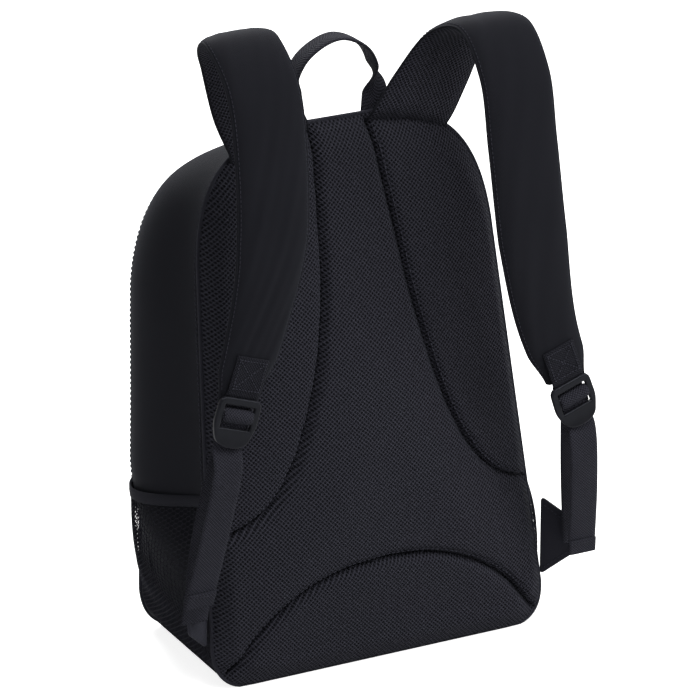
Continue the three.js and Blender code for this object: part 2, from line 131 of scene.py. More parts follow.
def smooth_line(knots: list[tuple[float, ...]], count: int) -> np.ndarray:
    """A centripetal Catmull-Rom line through knots, in metres.

    Args:
        knots: the points it passes through, in millimetres.
        count: how many evenly spaced points to return.

    Returns:
        The line's points in metres.
    """
    p = np.array(knots, float) * MM
    p = np.vstack([2 * p[0] - p[1], p, 2 * p[-1] - p[-2]])
    pieces = []
    for a, b, c, d in zip(p[:-3], p[1:-2], p[2:-1], p[3:]):
        t0 = 0.0
        t1 = t0 + math.sqrt(np.linalg.norm(b - a)) + 1e-9
        t2 = t1 + math.sqrt(np.linalg.norm(c - b)) + 1e-9
        t3 = t2 + math.sqrt(np.linalg.norm(d - c)) + 1e-9
        t = np.linspace(t1, t2, 24, endpoint=False)[:, None]
        a1 = (t1 - t) / (t1 - t0) * a + (t - t0) / (t1 - t0) * b
        a2 = (t2 - t) / (t2 - t1) * b + (t - t1) / (t2 - t1) * c
        a3 = (t3 - t) / (t3 - t2) * c + (t - t2) / (t3 - t2) * d
        b1 = (t2 - t) / (t2 - t0) * a1 + (t - t0) / (t2 - t0) * a2
        b2 = (t3 - t) / (t3 - t1) * a2 + (t - t1) / (t3 - t1) * a3
        pieces.append((t2 - t) / (t2 - t1) * b1 + (t - t1) / (t2 - t1) * b2)
    return resample(np.vstack(pieces + [p[-2:-1]]), count)


def directions(line: np.ndarray) -> np.ndarray:
    """Unit tangents along a line."""
    slope = np.gradient(line, axis=0)
    return slope / np.linalg.norm(slope, axis=1, keepdims=True)


# Materials -----------------------------------------------------------------------------------------


class NodeSketch:
    """Adds nodes to a tree and joins them, so that a material reads as a few short lines."""

    def __init__(self, tree: bpy.types.NodeTree) -> None:
        """Keeps the tree that the nodes go into."""
        self.tree = tree

    def node(self, kind: str, **settings: object) -> bpy.types.Node:
        """A new node with its settings."""
        made = self.tree.nodes.new(kind)
        for name, value in settings.items():
            setattr(made, name, value)
        return made

    def join(self, value: object, socket: bpy.types.NodeSocket) -> None:
        """Links a socket, or sets a plain value."""
        if isinstance(value, bpy.types.NodeSocket):
            self.tree.links.new(value, socket)
        else:
            socket.default_value = value

    def math(self, operation: str, *values: object) -> bpy.types.NodeSocket:
        """The result of a Math node."""
        made = self.node("ShaderNodeMath", operation=operation)
        for value, socket in zip(values, made.inputs):
            self.join(value, socket)
        return made.outputs[0]

    def mix(self, factor: object, first: object, second: object) -> bpy.types.NodeSocket:
        """A colour between first and second."""
        made = self.node("ShaderNodeMix", data_type="RGBA")
        self.join(factor, made.inputs[0])
        self.join(first, made.inputs[6])
        self.join(second, made.inputs[7])
        return made.outputs[2]


def new_group(name: str, inputs: dict[str, tuple[str, object]], outputs: dict[str, str]) -> tuple:
    """An empty shader node group with named sockets.

    Args:
        name: the group's name.
        inputs: socket name to its type and default.
        outputs: socket name to its type.

    Returns:
        The group, its sketch, its input node and its output node.
    """
    group = bpy.data.node_groups.new(name, "ShaderNodeTree")
    for socket, (kind, default) in inputs.items():
        made = group.interface.new_socket(socket, in_out="INPUT", socket_type=f"NodeSocket{kind}")
        made.default_value = default
    for socket, kind in outputs.items():
        group.interface.new_socket(socket, in_out="OUTPUT", socket_type=f"NodeSocket{kind}")
    sketch = NodeSketch(group)
    return group, sketch, sketch.node("NodeGroupInput"), sketch.node("NodeGroupOutput")


GREY = (0.5, 0.5, 0.5, 1.0)
COOL = (0.80, 0.86, 1.0, 1.0)
RELIEF_OUTPUTS = {"Color": "Color", "Roughness": "Float", "Height": "Float"}


def weave_group() -> bpy.types.NodeTree:
    """Over-and-under weave with uneven yarns, in surface coordinates given in metres."""
    group, sketch, given, out = new_group(
        "plain_weave",
        {"Yarn": ("Color", GREY), "Shadow": ("Color", GREY), "Pitch": ("Float", 0.001),
         "Ribs": ("Float", 1.0)},
        RELIEF_OUTPUTS,
    )
    uv = sketch.node("ShaderNodeUVMap", uv_map="surface")
    parts = sketch.node("ShaderNodeSeparateXYZ")
    sketch.join(uv.outputs[0], parts.inputs[0])
    noise = sketch.node("ShaderNodeTexNoise")
    noise.inputs["Scale"].default_value = 320.0
    noise.inputs["Detail"].default_value = 3.0
    sketch.join(uv.outputs[0], noise.inputs["Vector"])
    turn = sketch.math("DIVIDE", 2 * math.pi, given.outputs["Pitch"])
    across = sketch.math("SINE", sketch.math("MULTIPLY", parts.outputs[0], turn))
    tall = sketch.math("MULTIPLY", turn, given.outputs["Ribs"])
    along = sketch.math("SINE", sketch.math("MULTIPLY", parts.outputs[1], tall))
    checker = sketch.math("MULTIPLY", across, along)
    raised = sketch.math("MULTIPLY_ADD", checker, 0.5, 0.5)
    height = sketch.math("MULTIPLY_ADD", noise.outputs["Fac"], 0.5, raised)
    broad = sketch.node("ShaderNodeTexNoise")
    broad.inputs["Scale"].default_value = 14.0
    sketch.join(uv.outputs[0], broad.inputs["Vector"])
    fade = sketch.math("MULTIPLY_ADD", broad.outputs["Fac"], 0.5, sketch.math("MULTIPLY", raised, 0.75))
    sketch.join(sketch.mix(fade, given.outputs["Shadow"], given.outputs["Yarn"]), out.inputs["Color"])
    sketch.join(sketch.math("MULTIPLY_ADD", raised, -0.12, 0.86), out.inputs["Roughness"])
    sketch.join(height, out.inputs["Height"])
    return group


def spacer_group() -> bpy.types.NodeTree:
    """Knitted spacer mesh: rows of small eyes between raised diagonal yarns, with painted shade in the eyes."""
    group, sketch, given, out = new_group(
        "spacer_knit",
        {"Yarn": ("Color", GREY), "HoleShade": ("Color", GREY), "Pitch": ("Float", 0.004)},
        RELIEF_OUTPUTS,
    )
    uv = sketch.node("ShaderNodeUVMap", uv_map="surface")
    parts = sketch.node("ShaderNodeSeparateXYZ")
    wobble = sketch.node("ShaderNodeTexNoise")
    wobble.inputs["Scale"].default_value = 60.0
    sketch.join(uv.outputs[0], wobble.inputs["Vector"])
    sketch.join(uv.outputs[0], parts.inputs[0])
    turn = sketch.math("DIVIDE", math.pi, given.outputs["Pitch"])
    shift = sketch.math("MULTIPLY", wobble.outputs["Fac"], 1.3)
    x = sketch.math("ADD", sketch.math("MULTIPLY", parts.outputs[0], turn), shift)
    y = sketch.math("ADD", sketch.math("MULTIPLY", parts.outputs[1], turn), shift)
    first = sketch.math("ABSOLUTE", sketch.math("SINE", sketch.math("ADD", x, y)))
    second = sketch.math("ABSOLUTE", sketch.math("SINE", sketch.math("SUBTRACT", x, y)))
    eye = sketch.math("MULTIPLY", first, second)
    yarn = sketch.math("SUBTRACT", 1.0, sketch.math("POWER", eye, 0.7))
    grain = sketch.node("ShaderNodeTexNoise")
    grain.inputs["Scale"].default_value = 900.0
    grain.inputs["Detail"].default_value = 2.0
    sketch.join(uv.outputs[0], grain.inputs["Vector"])
    woven = sketch.math("MULTIPLY_ADD", yarn, 1.1, -0.6)
    fibre = sketch.math("MULTIPLY_ADD", grain.outputs["Fac"], 1.2, woven)
    # Painted shade: the near-black eye colour fills the holes, where shade falls inside the mesh.
    sketch.join(sketch.mix(fibre, given.outputs["HoleShade"], given.outputs["Yarn"]), out.inputs["Color"])
    sketch.join(sketch.math("MULTIPLY_ADD", yarn, -0.1, 0.95), out.inputs["Roughness"])
    sketch.join(sketch.math("MULTIPLY_ADD", grain.outputs["Fac"], 0.3, yarn), out.inputs["Height"])
    return group


def moulding_group() -> bpy.types.NodeTree:
    """Satin moulded plastic: fine grain, light scuffs and paler worn edges."""
    group, sketch, given, out = new_group(
        "moulded_satin", {"Body": ("Color", GREY), "Worn": ("Color", GREY)}, RELIEF_OUTPUTS
    )
    place = sketch.node("ShaderNodeTexCoord")
    grain = sketch.node("ShaderNodeTexNoise")
    grain.inputs["Scale"].default_value = 1400.0
    sketch.join(place.outputs["Object"], grain.inputs["Vector"])
    scuff = sketch.node("ShaderNodeTexNoise")
    scuff.inputs["Scale"].default_value = 130.0
    scuff.inputs["Detail"].default_value = 5.0
    sketch.join(place.outputs["Object"], scuff.inputs["Vector"])
    shape = sketch.node("ShaderNodeNewGeometry")
    edge = sketch.math("MULTIPLY", sketch.math("SUBTRACT", shape.outputs["Pointiness"], 0.5), 6.0)
    worn = sketch.math("MULTIPLY", sketch.math("MAXIMUM", edge, 0.0), scuff.outputs["Fac"])
    sketch.join(sketch.mix(worn, given.outputs["Body"], given.outputs["Worn"]), out.inputs["Color"])
    sketch.join(sketch.math("MULTIPLY_ADD", scuff.outputs["Fac"], 0.25, 0.28), out.inputs["Roughness"])
    sketch.join(grain.outputs["Fac"], out.inputs["Height"])
    return group


GROUPS = {"weave": weave_group(), "spacer": spacer_group(), "moulding": moulding_group()}


@dataclass(frozen=True)
class Finish:
    """One finish of the bag: a shared relief group with this finish's own values."""

    name: str
    slot: str
    group: str
    values: tuple[tuple[str, object], ...]
    depth: float
    sheen: float = 0.0
    specular: float = 0.12

    def material(self) -> bpy.types.Material:
        """The finish's material, made on first use."""
        known = bpy.data.materials.get(self.name)
        if known:
            return known
        made = bpy.data.materials.new(self.name)
        made.use_nodes = True
        sketch = NodeSketch(made.node_tree)
        shader = made.node_tree.nodes["Principled BSDF"]
        relief = sketch.node("ShaderNodeGroup")
        relief.node_tree = GROUPS[self.group]
        for socket, value in self.values:
            relief.inputs[socket].default_value = value
        bump = sketch.node("ShaderNodeBump")
        bump.inputs["Strength"].default_value = 0.9
        bump.inputs["Distance"].default_value = self.depth
        sketch.join(relief.outputs["Height"], bump.inputs["Height"])
        sketch.join(relief.outputs["Color"], shader.inputs["Base Color"])
        sketch.join(relief.outputs["Roughness"], shader.inputs["Roughness"])
        sketch.join(bump.outputs["Normal"], shader.inputs["Normal"])
        shader.inputs["Sheen Weight"].default_value = self.sheen
        shader.inputs["Sheen Roughness"].default_value = 0.45
        shader.inputs["Sheen Tint"].default_value = COOL
        shader.inputs["Specular Tint"].default_value = COOL
        shader.inputs["Specular IOR Level"].default_value = self.specular
        return made


def shade(level: float, blue: float = 1.3) -> tuple[float, float, float, float]:
    """A near-black that leans slightly to blue."""
    return (level, level * 0.99, level * blue, 1.0)


CLOTH = Finish("smooth_polyester", "cloth", "weave",
               (("Yarn", shade(0.010)), ("Shadow", shade(0.004)), ("Pitch", 0.0011)), 0.00012, 0.045)
PIPING = Finish("piping_cloth", "cloth", "weave",
                (("Yarn", shade(0.030)), ("Shadow", shade(0.012)), ("Pitch", 0.0012)), 0.0002, 0.04)
# The spacer's near-black eye colour is painted shade inside the mesh's holes.
SPACER = Finish("spacer_mesh_cloth", "mesh", "spacer",
                (("Yarn", shade(0.041)), ("HoleShade", shade(0.001)), ("Pitch", 0.0036)), 0.0014, 0.02)
WEBBING = Finish("ribbed_webbing", "webbing", "weave",
                 (("Yarn", shade(0.034)), ("Shadow", shade(0.001)), ("Pitch", 0.0026), ("Ribs", 1.0)), 0.0007,
                 0.01)
ELASTIC = Finish("bound_elastic", "webbing", "weave",
                 (("Yarn", shade(0.018)), ("Shadow", shade(0.006)), ("Pitch", 0.0016)), 0.0003, 0.02)
NET = Finish("net_cord", "net", "weave",
             (("Yarn", shade(0.022)), ("Shadow", shade(0.008)), ("Pitch", 0.0012)), 0.0001, 0.02)
TAPE = Finish("zip_tape", "zip", "weave",
              (("Yarn", shade(0.014)), ("Shadow", shade(0.005)), ("Pitch", 0.0013), ("Ribs", 2.0)), 0.0002,
              0.02)
LINING = Finish("lining_cloth", "lining", "weave",
                (("Yarn", shade(0.10)), ("Shadow", shade(0.06)), ("Pitch", 0.0009)), 0.0001, 0.1)
THREAD = Finish("sewing_thread", "cloth", "weave",
                (("Yarn", shade(0.045)), ("Shadow", shade(0.020)), ("Pitch", 0.0006)), 0.0001, 0.04)
PATCH = Finish("patch_webbing", "webbing", "weave",
               (("Yarn", shade(0.018)), ("Shadow", shade(0.001)), ("Pitch", 0.0024), ("Ribs", 1.0)), 0.0006,
               0.01)
PLASTIC = Finish("moulded_buckle", "plastic", "moulding",
                 (("Body", shade(0.004, 1.15)), ("Worn", shade(0.05))), 0.00003, 0.0, 0.2)


# Mesh helpers --------------------------------------------------------------------------------------


def mesh_piece(name: str, vertices: np.ndarray, faces: list, finish: Finish,
               uv: np.ndarray | None = None) -> bpy.types.Object:
    """A smooth-shaded piece in the scene.

    Args:
        name: the piece's name.
        vertices: one row a vertex, in metres.
        faces: vertex indices of each face.
        finish: its finish.
        uv: surface coordinates in metres, one row a vertex.

    Returns:
        The new object.
    """
    mesh = bpy.data.meshes.new(name)
    mesh.from_pydata(np.asarray(vertices).tolist(), [], [tuple(int(i) for i in face) for face in faces])
    layer = mesh.uv_layers.new(name="surface")
    if uv is None:
        uv = np.asarray(vertices)[:, [0, 2]]
    corners = np.empty(len(mesh.loops), dtype=np.int32)
    mesh.loops.foreach_get("vertex_index", corners)
    layer.data.foreach_set("uv", np.asarray(uv, dtype=np.float32)[corners].ravel())
    mesh.polygons.foreach_set("use_smooth", [True] * len(mesh.polygons))
    mesh.materials.append(finish.material())
    mesh.update()
    piece = bpy.data.objects.new(name, mesh)
    bpy.context.scene.collection.objects.link(piece)
    return piece


def grid_faces(rows: int, columns: int, closed: bool = False) -> list[tuple[int, int, int, int]]:
    """Quads of a grid of points; closed joins the last column to the first."""
    span = columns if closed else columns - 1
    faces = []
    for r in range(rows - 1):
        for c in range(span):
            a = r * columns + c
            b = r * columns + (c + 1) % columns
            faces.append((a, b, b + columns, a + columns))
    return faces


def grid_lengths(points: np.ndarray) -> np.ndarray:
    """Surface coordinates of a grid, in metres along its columns and rows."""
    across = np.linalg.norm(np.diff(points, axis=1, prepend=points[:, :1]), axis=2).cumsum(axis=1)
    along = np.linalg.norm(np.diff(points, axis=0, prepend=points[:1]), axis=2).cumsum(axis=0)
    middle = across[:, [across.shape[1] // 2]]
    return np.stack([across - middle, along], axis=2)


def thicken(piece: bpy.types.Object, thickness: float, offset: float = -1.0) -> None:
    """Gives a sheet its cloth thickness."""
    solid = piece.modifiers.new("thickness", "SOLIDIFY")
    solid.thickness = thickness
    solid.offset = offset
    solid.use_even_offset = False


def cloth_sheet(name: str, points: np.ndarray, finish: Finish, thickness: float, body: str,
                nodes: tuple[str, ...],
                cut: tuple[float, float]) -> bpy.types.Object:
    """A sewn sheet of cloth from a grid of points.

    Args:
        name: the piece's name.
        points: rows by columns by three, in metres, with outward normals to the grid's right-hand side.
        finish: its finish.
        thickness: of the cloth and its backing, in metres.
        body: the body it rides on.
        nodes: the CAD nodes that it stands for.
        cut: width and length that the pattern piece is cut to, in metres, from seams and depths alone.

    Returns:
        The piece.
    """
    rows, columns, _ = points.shape
    uv = grid_lengths(points).reshape(-1, 2)
    piece = mesh_piece(name, points.reshape(-1, 3), grid_faces(rows, columns), finish, uv)
    thicken(piece, thickness)
    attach(piece, body)
    if nodes:
        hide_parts(*nodes)
    area = sum(face.area for face in piece.data.polygons)
    LOG.info("%s: %d faces, built %.4f and cut %.4f square metres", name, len(piece.data.polygons), area,
             cut[0] * cut[1])
    return piece


@dataclass
class Ribbon:
    """A flat band along a line: webbing, binding or the foam of a strap."""

    line: np.ndarray
    width: Callable[[np.ndarray], np.ndarray]
    thick: float
    side: Callable[[np.ndarray], np.ndarray]
    sections: int = 4
    crown: float = 0.0

    def frames(self) -> tuple[np.ndarray, np.ndarray, np.ndarray]:
        """Unit vectors along, across and out of the band at each point of its line."""
        along = directions(self.line)
        u = np.linspace(0, 1, len(self.line))
        across = self.side(u)
        up = np.cross(along, across)
        return along, across, up / np.linalg.norm(up, axis=1, keepdims=True)

    def surface(self, s: np.ndarray, out: np.ndarray) -> np.ndarray:
        """Points at a share s of the half width and a distance out of the middle, for every line point."""
        _, across, up = self.frames()
        half = self.width(np.linspace(0, 1, len(self.line))) / 2
        return (self.line[:, None] + across[:, None] * (half[:, None] * s[None])[..., None]
                + up[:, None] * np.broadcast_to(out, (len(self.line), len(s)))[..., None])

    def mesh(self, name: str, finish: Finish) -> bpy.types.Object:
        """The band as a closed piece with softly rounded edges."""
        count = self.sections * 4
        s = np.linspace(-1, 1, count)
        rise = self.thick / 2 * (1 - np.abs(s) ** 8 * 0.75)
        top = self.surface(s, rise + self.crown * (1 - s * s))
        bottom = self.surface(s[::-1], -rise[::-1] + self.crown * (1 - s[::-1] ** 2))
        points = np.concatenate([top, bottom], axis=1)
        rows, columns, _ = points.shape
        faces = grid_faces(rows, columns, closed=True)
        faces.append(tuple(range(columns))[::-1])
        faces.append(tuple((rows - 1) * columns + k for k in range(columns)))
        uv = grid_lengths(points)
        return mesh_piece(name, points.reshape(-1, 3), faces, finish, uv.reshape(-1, 2))


def stitch_row(name: str, line: np.ndarray, out: np.ndarray, body: str, pitch: float = 0.0042,
               size: float = 0.00055) -> bpy.types.Object:
    """A row of raised thread stitches along a line on a surface.

    Args:
        name: the piece's name.
        line: points on the surface, in metres.
        out: the surface's outward direction at each point.
        body: the body that the stitches ride on.
        pitch: from one stitch to the next, in metres.
        size: radius of the thread, in metres.

    Returns:
        The piece.
    """
    length = float(np.linalg.norm(np.diff(line, axis=0), axis=1).sum())
    count = max(3, int(length / pitch))
    both = resample(np.hstack([line, out]), count)
    centres = both[:, :3]
    normals = both[:, 3:] / np.linalg.norm(both[:, 3:], axis=1, keepdims=True)
    along = directions(centres)
    across = np.cross(along, normals)
    vertices = []
    faces = []
    profile = [(-0.36, 0.2), (-0.22, 1.0), (0.22, 1.0), (0.36, 0.2)]
    for centre, t, n, b in zip(centres, along, normals, across):
        start = len(vertices)
        for at, grow in profile:
            for k in range(6):
                angle = k * math.pi / 3
                ring = n * math.sin(angle) * size * grow + b * math.cos(angle) * size * grow
                vertices.append(centre + t * at * pitch + ring + n * size * (grow - 0.6))
        for r in range(3):
            for k in range(6):
                a = start + r * 6 + k
                b2 = start + r * 6 + (k + 1) % 6
                faces.append((a, b2, b2 + 6, a + 6))
        faces.append(tuple(start + k for k in range(6))[::-1])
        faces.append(tuple(start + 18 + k for k in range(6)))
    piece = mesh_piece(name, np.array(vertices), faces, THREAD)
    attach(piece, body)
    return piece


def cord_tube(name: str, line: np.ndarray, radius: float, finish: Finish, closed: bool) -> bpy.types.Object:
    """A round piping along a line.

    Args:
        name: the piece's name.
        line: its centre line, in metres.
        radius: in metres.
        finish: its finish.
        closed: whether the line meets itself.

    Returns:
        The piece, riding on nothing yet.
    """
    sides = 10
    along = directions(np.vstack([line[-1:], line, line[:1]]))[1:-1] if closed else directions(line)
    reference = np.array([0.0, 1.0, 0.0])
    across = reference - along * (along @ reference)[:, None]
    across /= np.linalg.norm(across, axis=1, keepdims=True)
    up = np.cross(along, across)
    angle = np.linspace(0, 2 * math.pi, sides, endpoint=False)
    points = (line[:, None] + radius * (np.cos(angle)[None, :, None] * across[:, None]
                                        + np.sin(angle)[None, :, None] * up[:, None]))
    rows = len(line)
    faces = grid_faces(rows, sides, closed=True)
    if closed:
        last = (rows - 1) * sides
        faces += [(last + k, last + (k + 1) % sides, (k + 1) % sides, k) for k in range(sides)]
    else:
        faces.append(tuple(range(sides))[::-1])
        faces.append(tuple((rows - 1) * sides + k for k in range(sides)))
    return mesh_piece(name, points.reshape(-1, 3), faces, finish, grid_lengths(points).reshape(-1, 2))


# The bag's form ------------------------------------------------------------------------------------


@dataclass
class BagForm:
    """The filled shape of the bag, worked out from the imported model's boxes."""

    half_base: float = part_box("back_seam_piping")[1][0] - 1.6 * MM
    back_height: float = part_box("back_seam_piping")[1][2] - 1.8 * MM
    half_top_share: float = 131 / 150
    front_height: float = 358 * MM
    half_depth: float = 68 * MM
    back_lean: float = 0.185
    front_lean: float = 0.175
    foot_turn: float = 34 * MM
    back_crown: float = 27 * MM
    front_crown: float = 24 * MM
    side_swell: float = 16 * MM
    mid_swell: float = 11 * MM
    flap_height: float = 190 * MM
    zip_inset: float = 18 * MM

    def back_y(self, z: np.ndarray) -> np.ndarray:
        """Y of the back seam at height z."""
        return -self.half_depth + self.back_lean * z

    def front_y(self, z: np.ndarray) -> np.ndarray:
        """Y of the front seam at height z."""
        return self.half_depth + self.front_lean * z

    def swell(self, share: np.ndarray, z: np.ndarray) -> np.ndarray:
        """How far the filled bag pushes its gusset out, across the gusset and up its height."""
        fullness = self.side_swell * smoothstep(z, 30 * MM, 120 * MM)
        fullness = fullness + self.mid_swell * smoothstep(z, 70 * MM, 160 * MM)
        return fullness * np.sin(math.pi * share ** (1 + 0.6 * smoothstep(z, 70 * MM, 160 * MM)))

    def outline(self, half_base: float, half_top: float, height: float, count: int) -> np.ndarray:
        """Evenly spaced points round an arch-shaped seam, from the base's middle and back to it.

        Args:
            half_base: half the width near the base.
            half_top: half the width under the top corners.
            height: of the arch.
            count: how many points, an even number.

        Returns:
            X and Z of each point, with X rising first.
        """
        t = np.linspace(0, 1, 60)[:, None]
        turn = self.foot_turn

        def bezier(*knots: tuple[float, float]) -> np.ndarray:
            """A Bezier curve through the control points."""
            line = [np.array(k, float) for k in knots]
            while len(line) > 1:
                line = [a * (1 - t) + b * t for a, b in zip(line[:-1], line[1:])]
            return line[0]

        half = np.vstack([
            bezier((0, 0), (half_base - turn, 0)),
            bezier((half_base - turn, 0), (half_base, 0), (half_base, turn)),
            bezier((half_base, turn), (half_top, height * 0.775)),
            bezier((half_top, height * 0.775), (half_top - 6 * MM, height * 0.93),
                   (half_top * 0.73, height - 3 * MM), (half_top * 0.24, height)),
            bezier((half_top * 0.24, height), (0, height)),
        ])
        right = resample(half, count // 2 + 1)
        left = right[1:-1][::-1] * np.array([-1, 1])
        return np.vstack([right, left])

    def seam_length(self, low: float, high: float) -> float:
        """Mean length of the back and front seams between two heights, both sides and any top counted."""
        total = 0.0
        for seam in (self.back_outline(720), self.front_outline(720)):
            step = np.linalg.norm(np.roll(seam, -1, axis=0) - seam, axis=1)
            total += step[(seam[:, 1] >= low) & (seam[:, 1] <= high)].sum() / 2
        return float(total)

    def straight_depth(self, low: float, high: float) -> float:
        """Distance from the back seam straight to the front seam, halfway between two heights."""
        middle = (low + high) / 2
        return float(self.front_y(middle) - self.back_y(middle))

    def flat_front(self, low: float, high: float) -> tuple[tuple[float, float], float]:
        """Width, height and area of the flat front pattern between two heights, before it is filled."""
        seam = self.front_outline(720)
        right = seam[:361]
        z = np.linspace(low, min(high, self.front_height), 200)
        half = np.interp(z, right[:, 1], right[:, 0])
        slant = math.hypot(1.0, self.front_lean)
        area = float((half[1:] + half[:-1]).sum() * (z[1] - z[0])) * slant
        return (float(2 * half.max()), float(z[-1] - z[0]) * slant), area

    def back_outline(self, count: int) -> np.ndarray:
        """The back seam in X and Z."""
        return self.outline(self.half_base, self.half_base * self.half_top_share, self.back_height, count)

    def front_outline(self, count: int) -> np.ndarray:
        """The front seam in X and Z."""
        half_top = self.half_base * self.half_top_share - 8 * MM
        return self.outline(self.half_base - 3 * MM, half_top, self.front_height, count)

    def share_before_front(self, back: np.ndarray, front: np.ndarray, distance: np.ndarray) -> np.ndarray:
        """How far across the gusset lies a line a given distance behind the front seam.

        Args:
            back: back seam points in X and Z.
            front: front seam points in X and Z.
            distance: behind the front seam's plane, in metres.

        Returns:
            The share from 0 at the back seam to 1 at the front seam.
        """
        start = self.back_y(back[:, 1])
        span = self.front_y(front[:, 1]) - start
        rise = self.front_lean * (front[:, 1] - back[:, 1])
        target = self.half_depth + self.front_lean * back[:, 1] - distance
        return (target - start) / (span - rise)

    def gusset_point(self, back: np.ndarray, front: np.ndarray, share: np.ndarray,
                     proud: float = 0.0) -> np.ndarray:
        """Points on the swollen gusset.

        Args:
            back: back seam points in X and Z.
            front: the front seam points that they are joined to.
            share: across the gusset, for each point.
            proud: how far to stand out from the gusset, in metres.

        Returns:
            The points in metres.
        """
        x = back[:, 0] + (front[:, 0] - back[:, 0]) * share
        z = back[:, 1] + (front[:, 1] - back[:, 1]) * share
        y = self.back_y(back[:, 1]) + (self.front_y(front[:, 1]) - self.back_y(back[:, 1])) * share
        swell = self.swell(np.clip(share, 0, 1), z)
        uneven = ripple(z + x, y, 0.16, 3) * 1.1 * MM * np.sin(math.pi * np.clip(share, 0, 1))
        pucker = ripple(z * 6 + x * 5, y * 0.4, 0.10, 9) * 0.5 * MM
        pucker = pucker * (np.exp(-share / 0.08) + np.exp(-(1 - share) / 0.08)) * smoothstep(z, 30 * MM, 60 * MM)
        swell = swell + (uneven + pucker) * smoothstep(z, 20 * MM, 70 * MM)
        out_x = x / self.half_base
        out_z = 0.48 * smoothstep(z, 0.70 * self.back_height, 0.86 * self.back_height)
        roof = smoothstep(z, 0.62 * self.back_height, 0.9 * self.back_height)
        lift_x = np.sign(x) * (1 - roof) * proud
        return np.stack([x + out_x * swell + lift_x, y, z + out_z * swell + roof * proud], axis=1)

    def radial(self, x: np.ndarray, z: np.ndarray, outline: np.ndarray, middle: float) -> np.ndarray:
        """How far a point lies from the panel's middle to its seam, 1 on the seam."""
        angle = np.arctan2(outline[:, 1] - middle, outline[:, 0])
        reach = np.hypot(outline[:, 0], outline[:, 1] - middle)
        order = np.argsort(angle)
        at = np.arctan2(z - middle, x)
        rim = np.interp(at, angle[order], reach[order], period=2 * math.pi)
        return np.clip(np.hypot(x, z - middle) / rim, 0, 1)


FORM = BagForm()


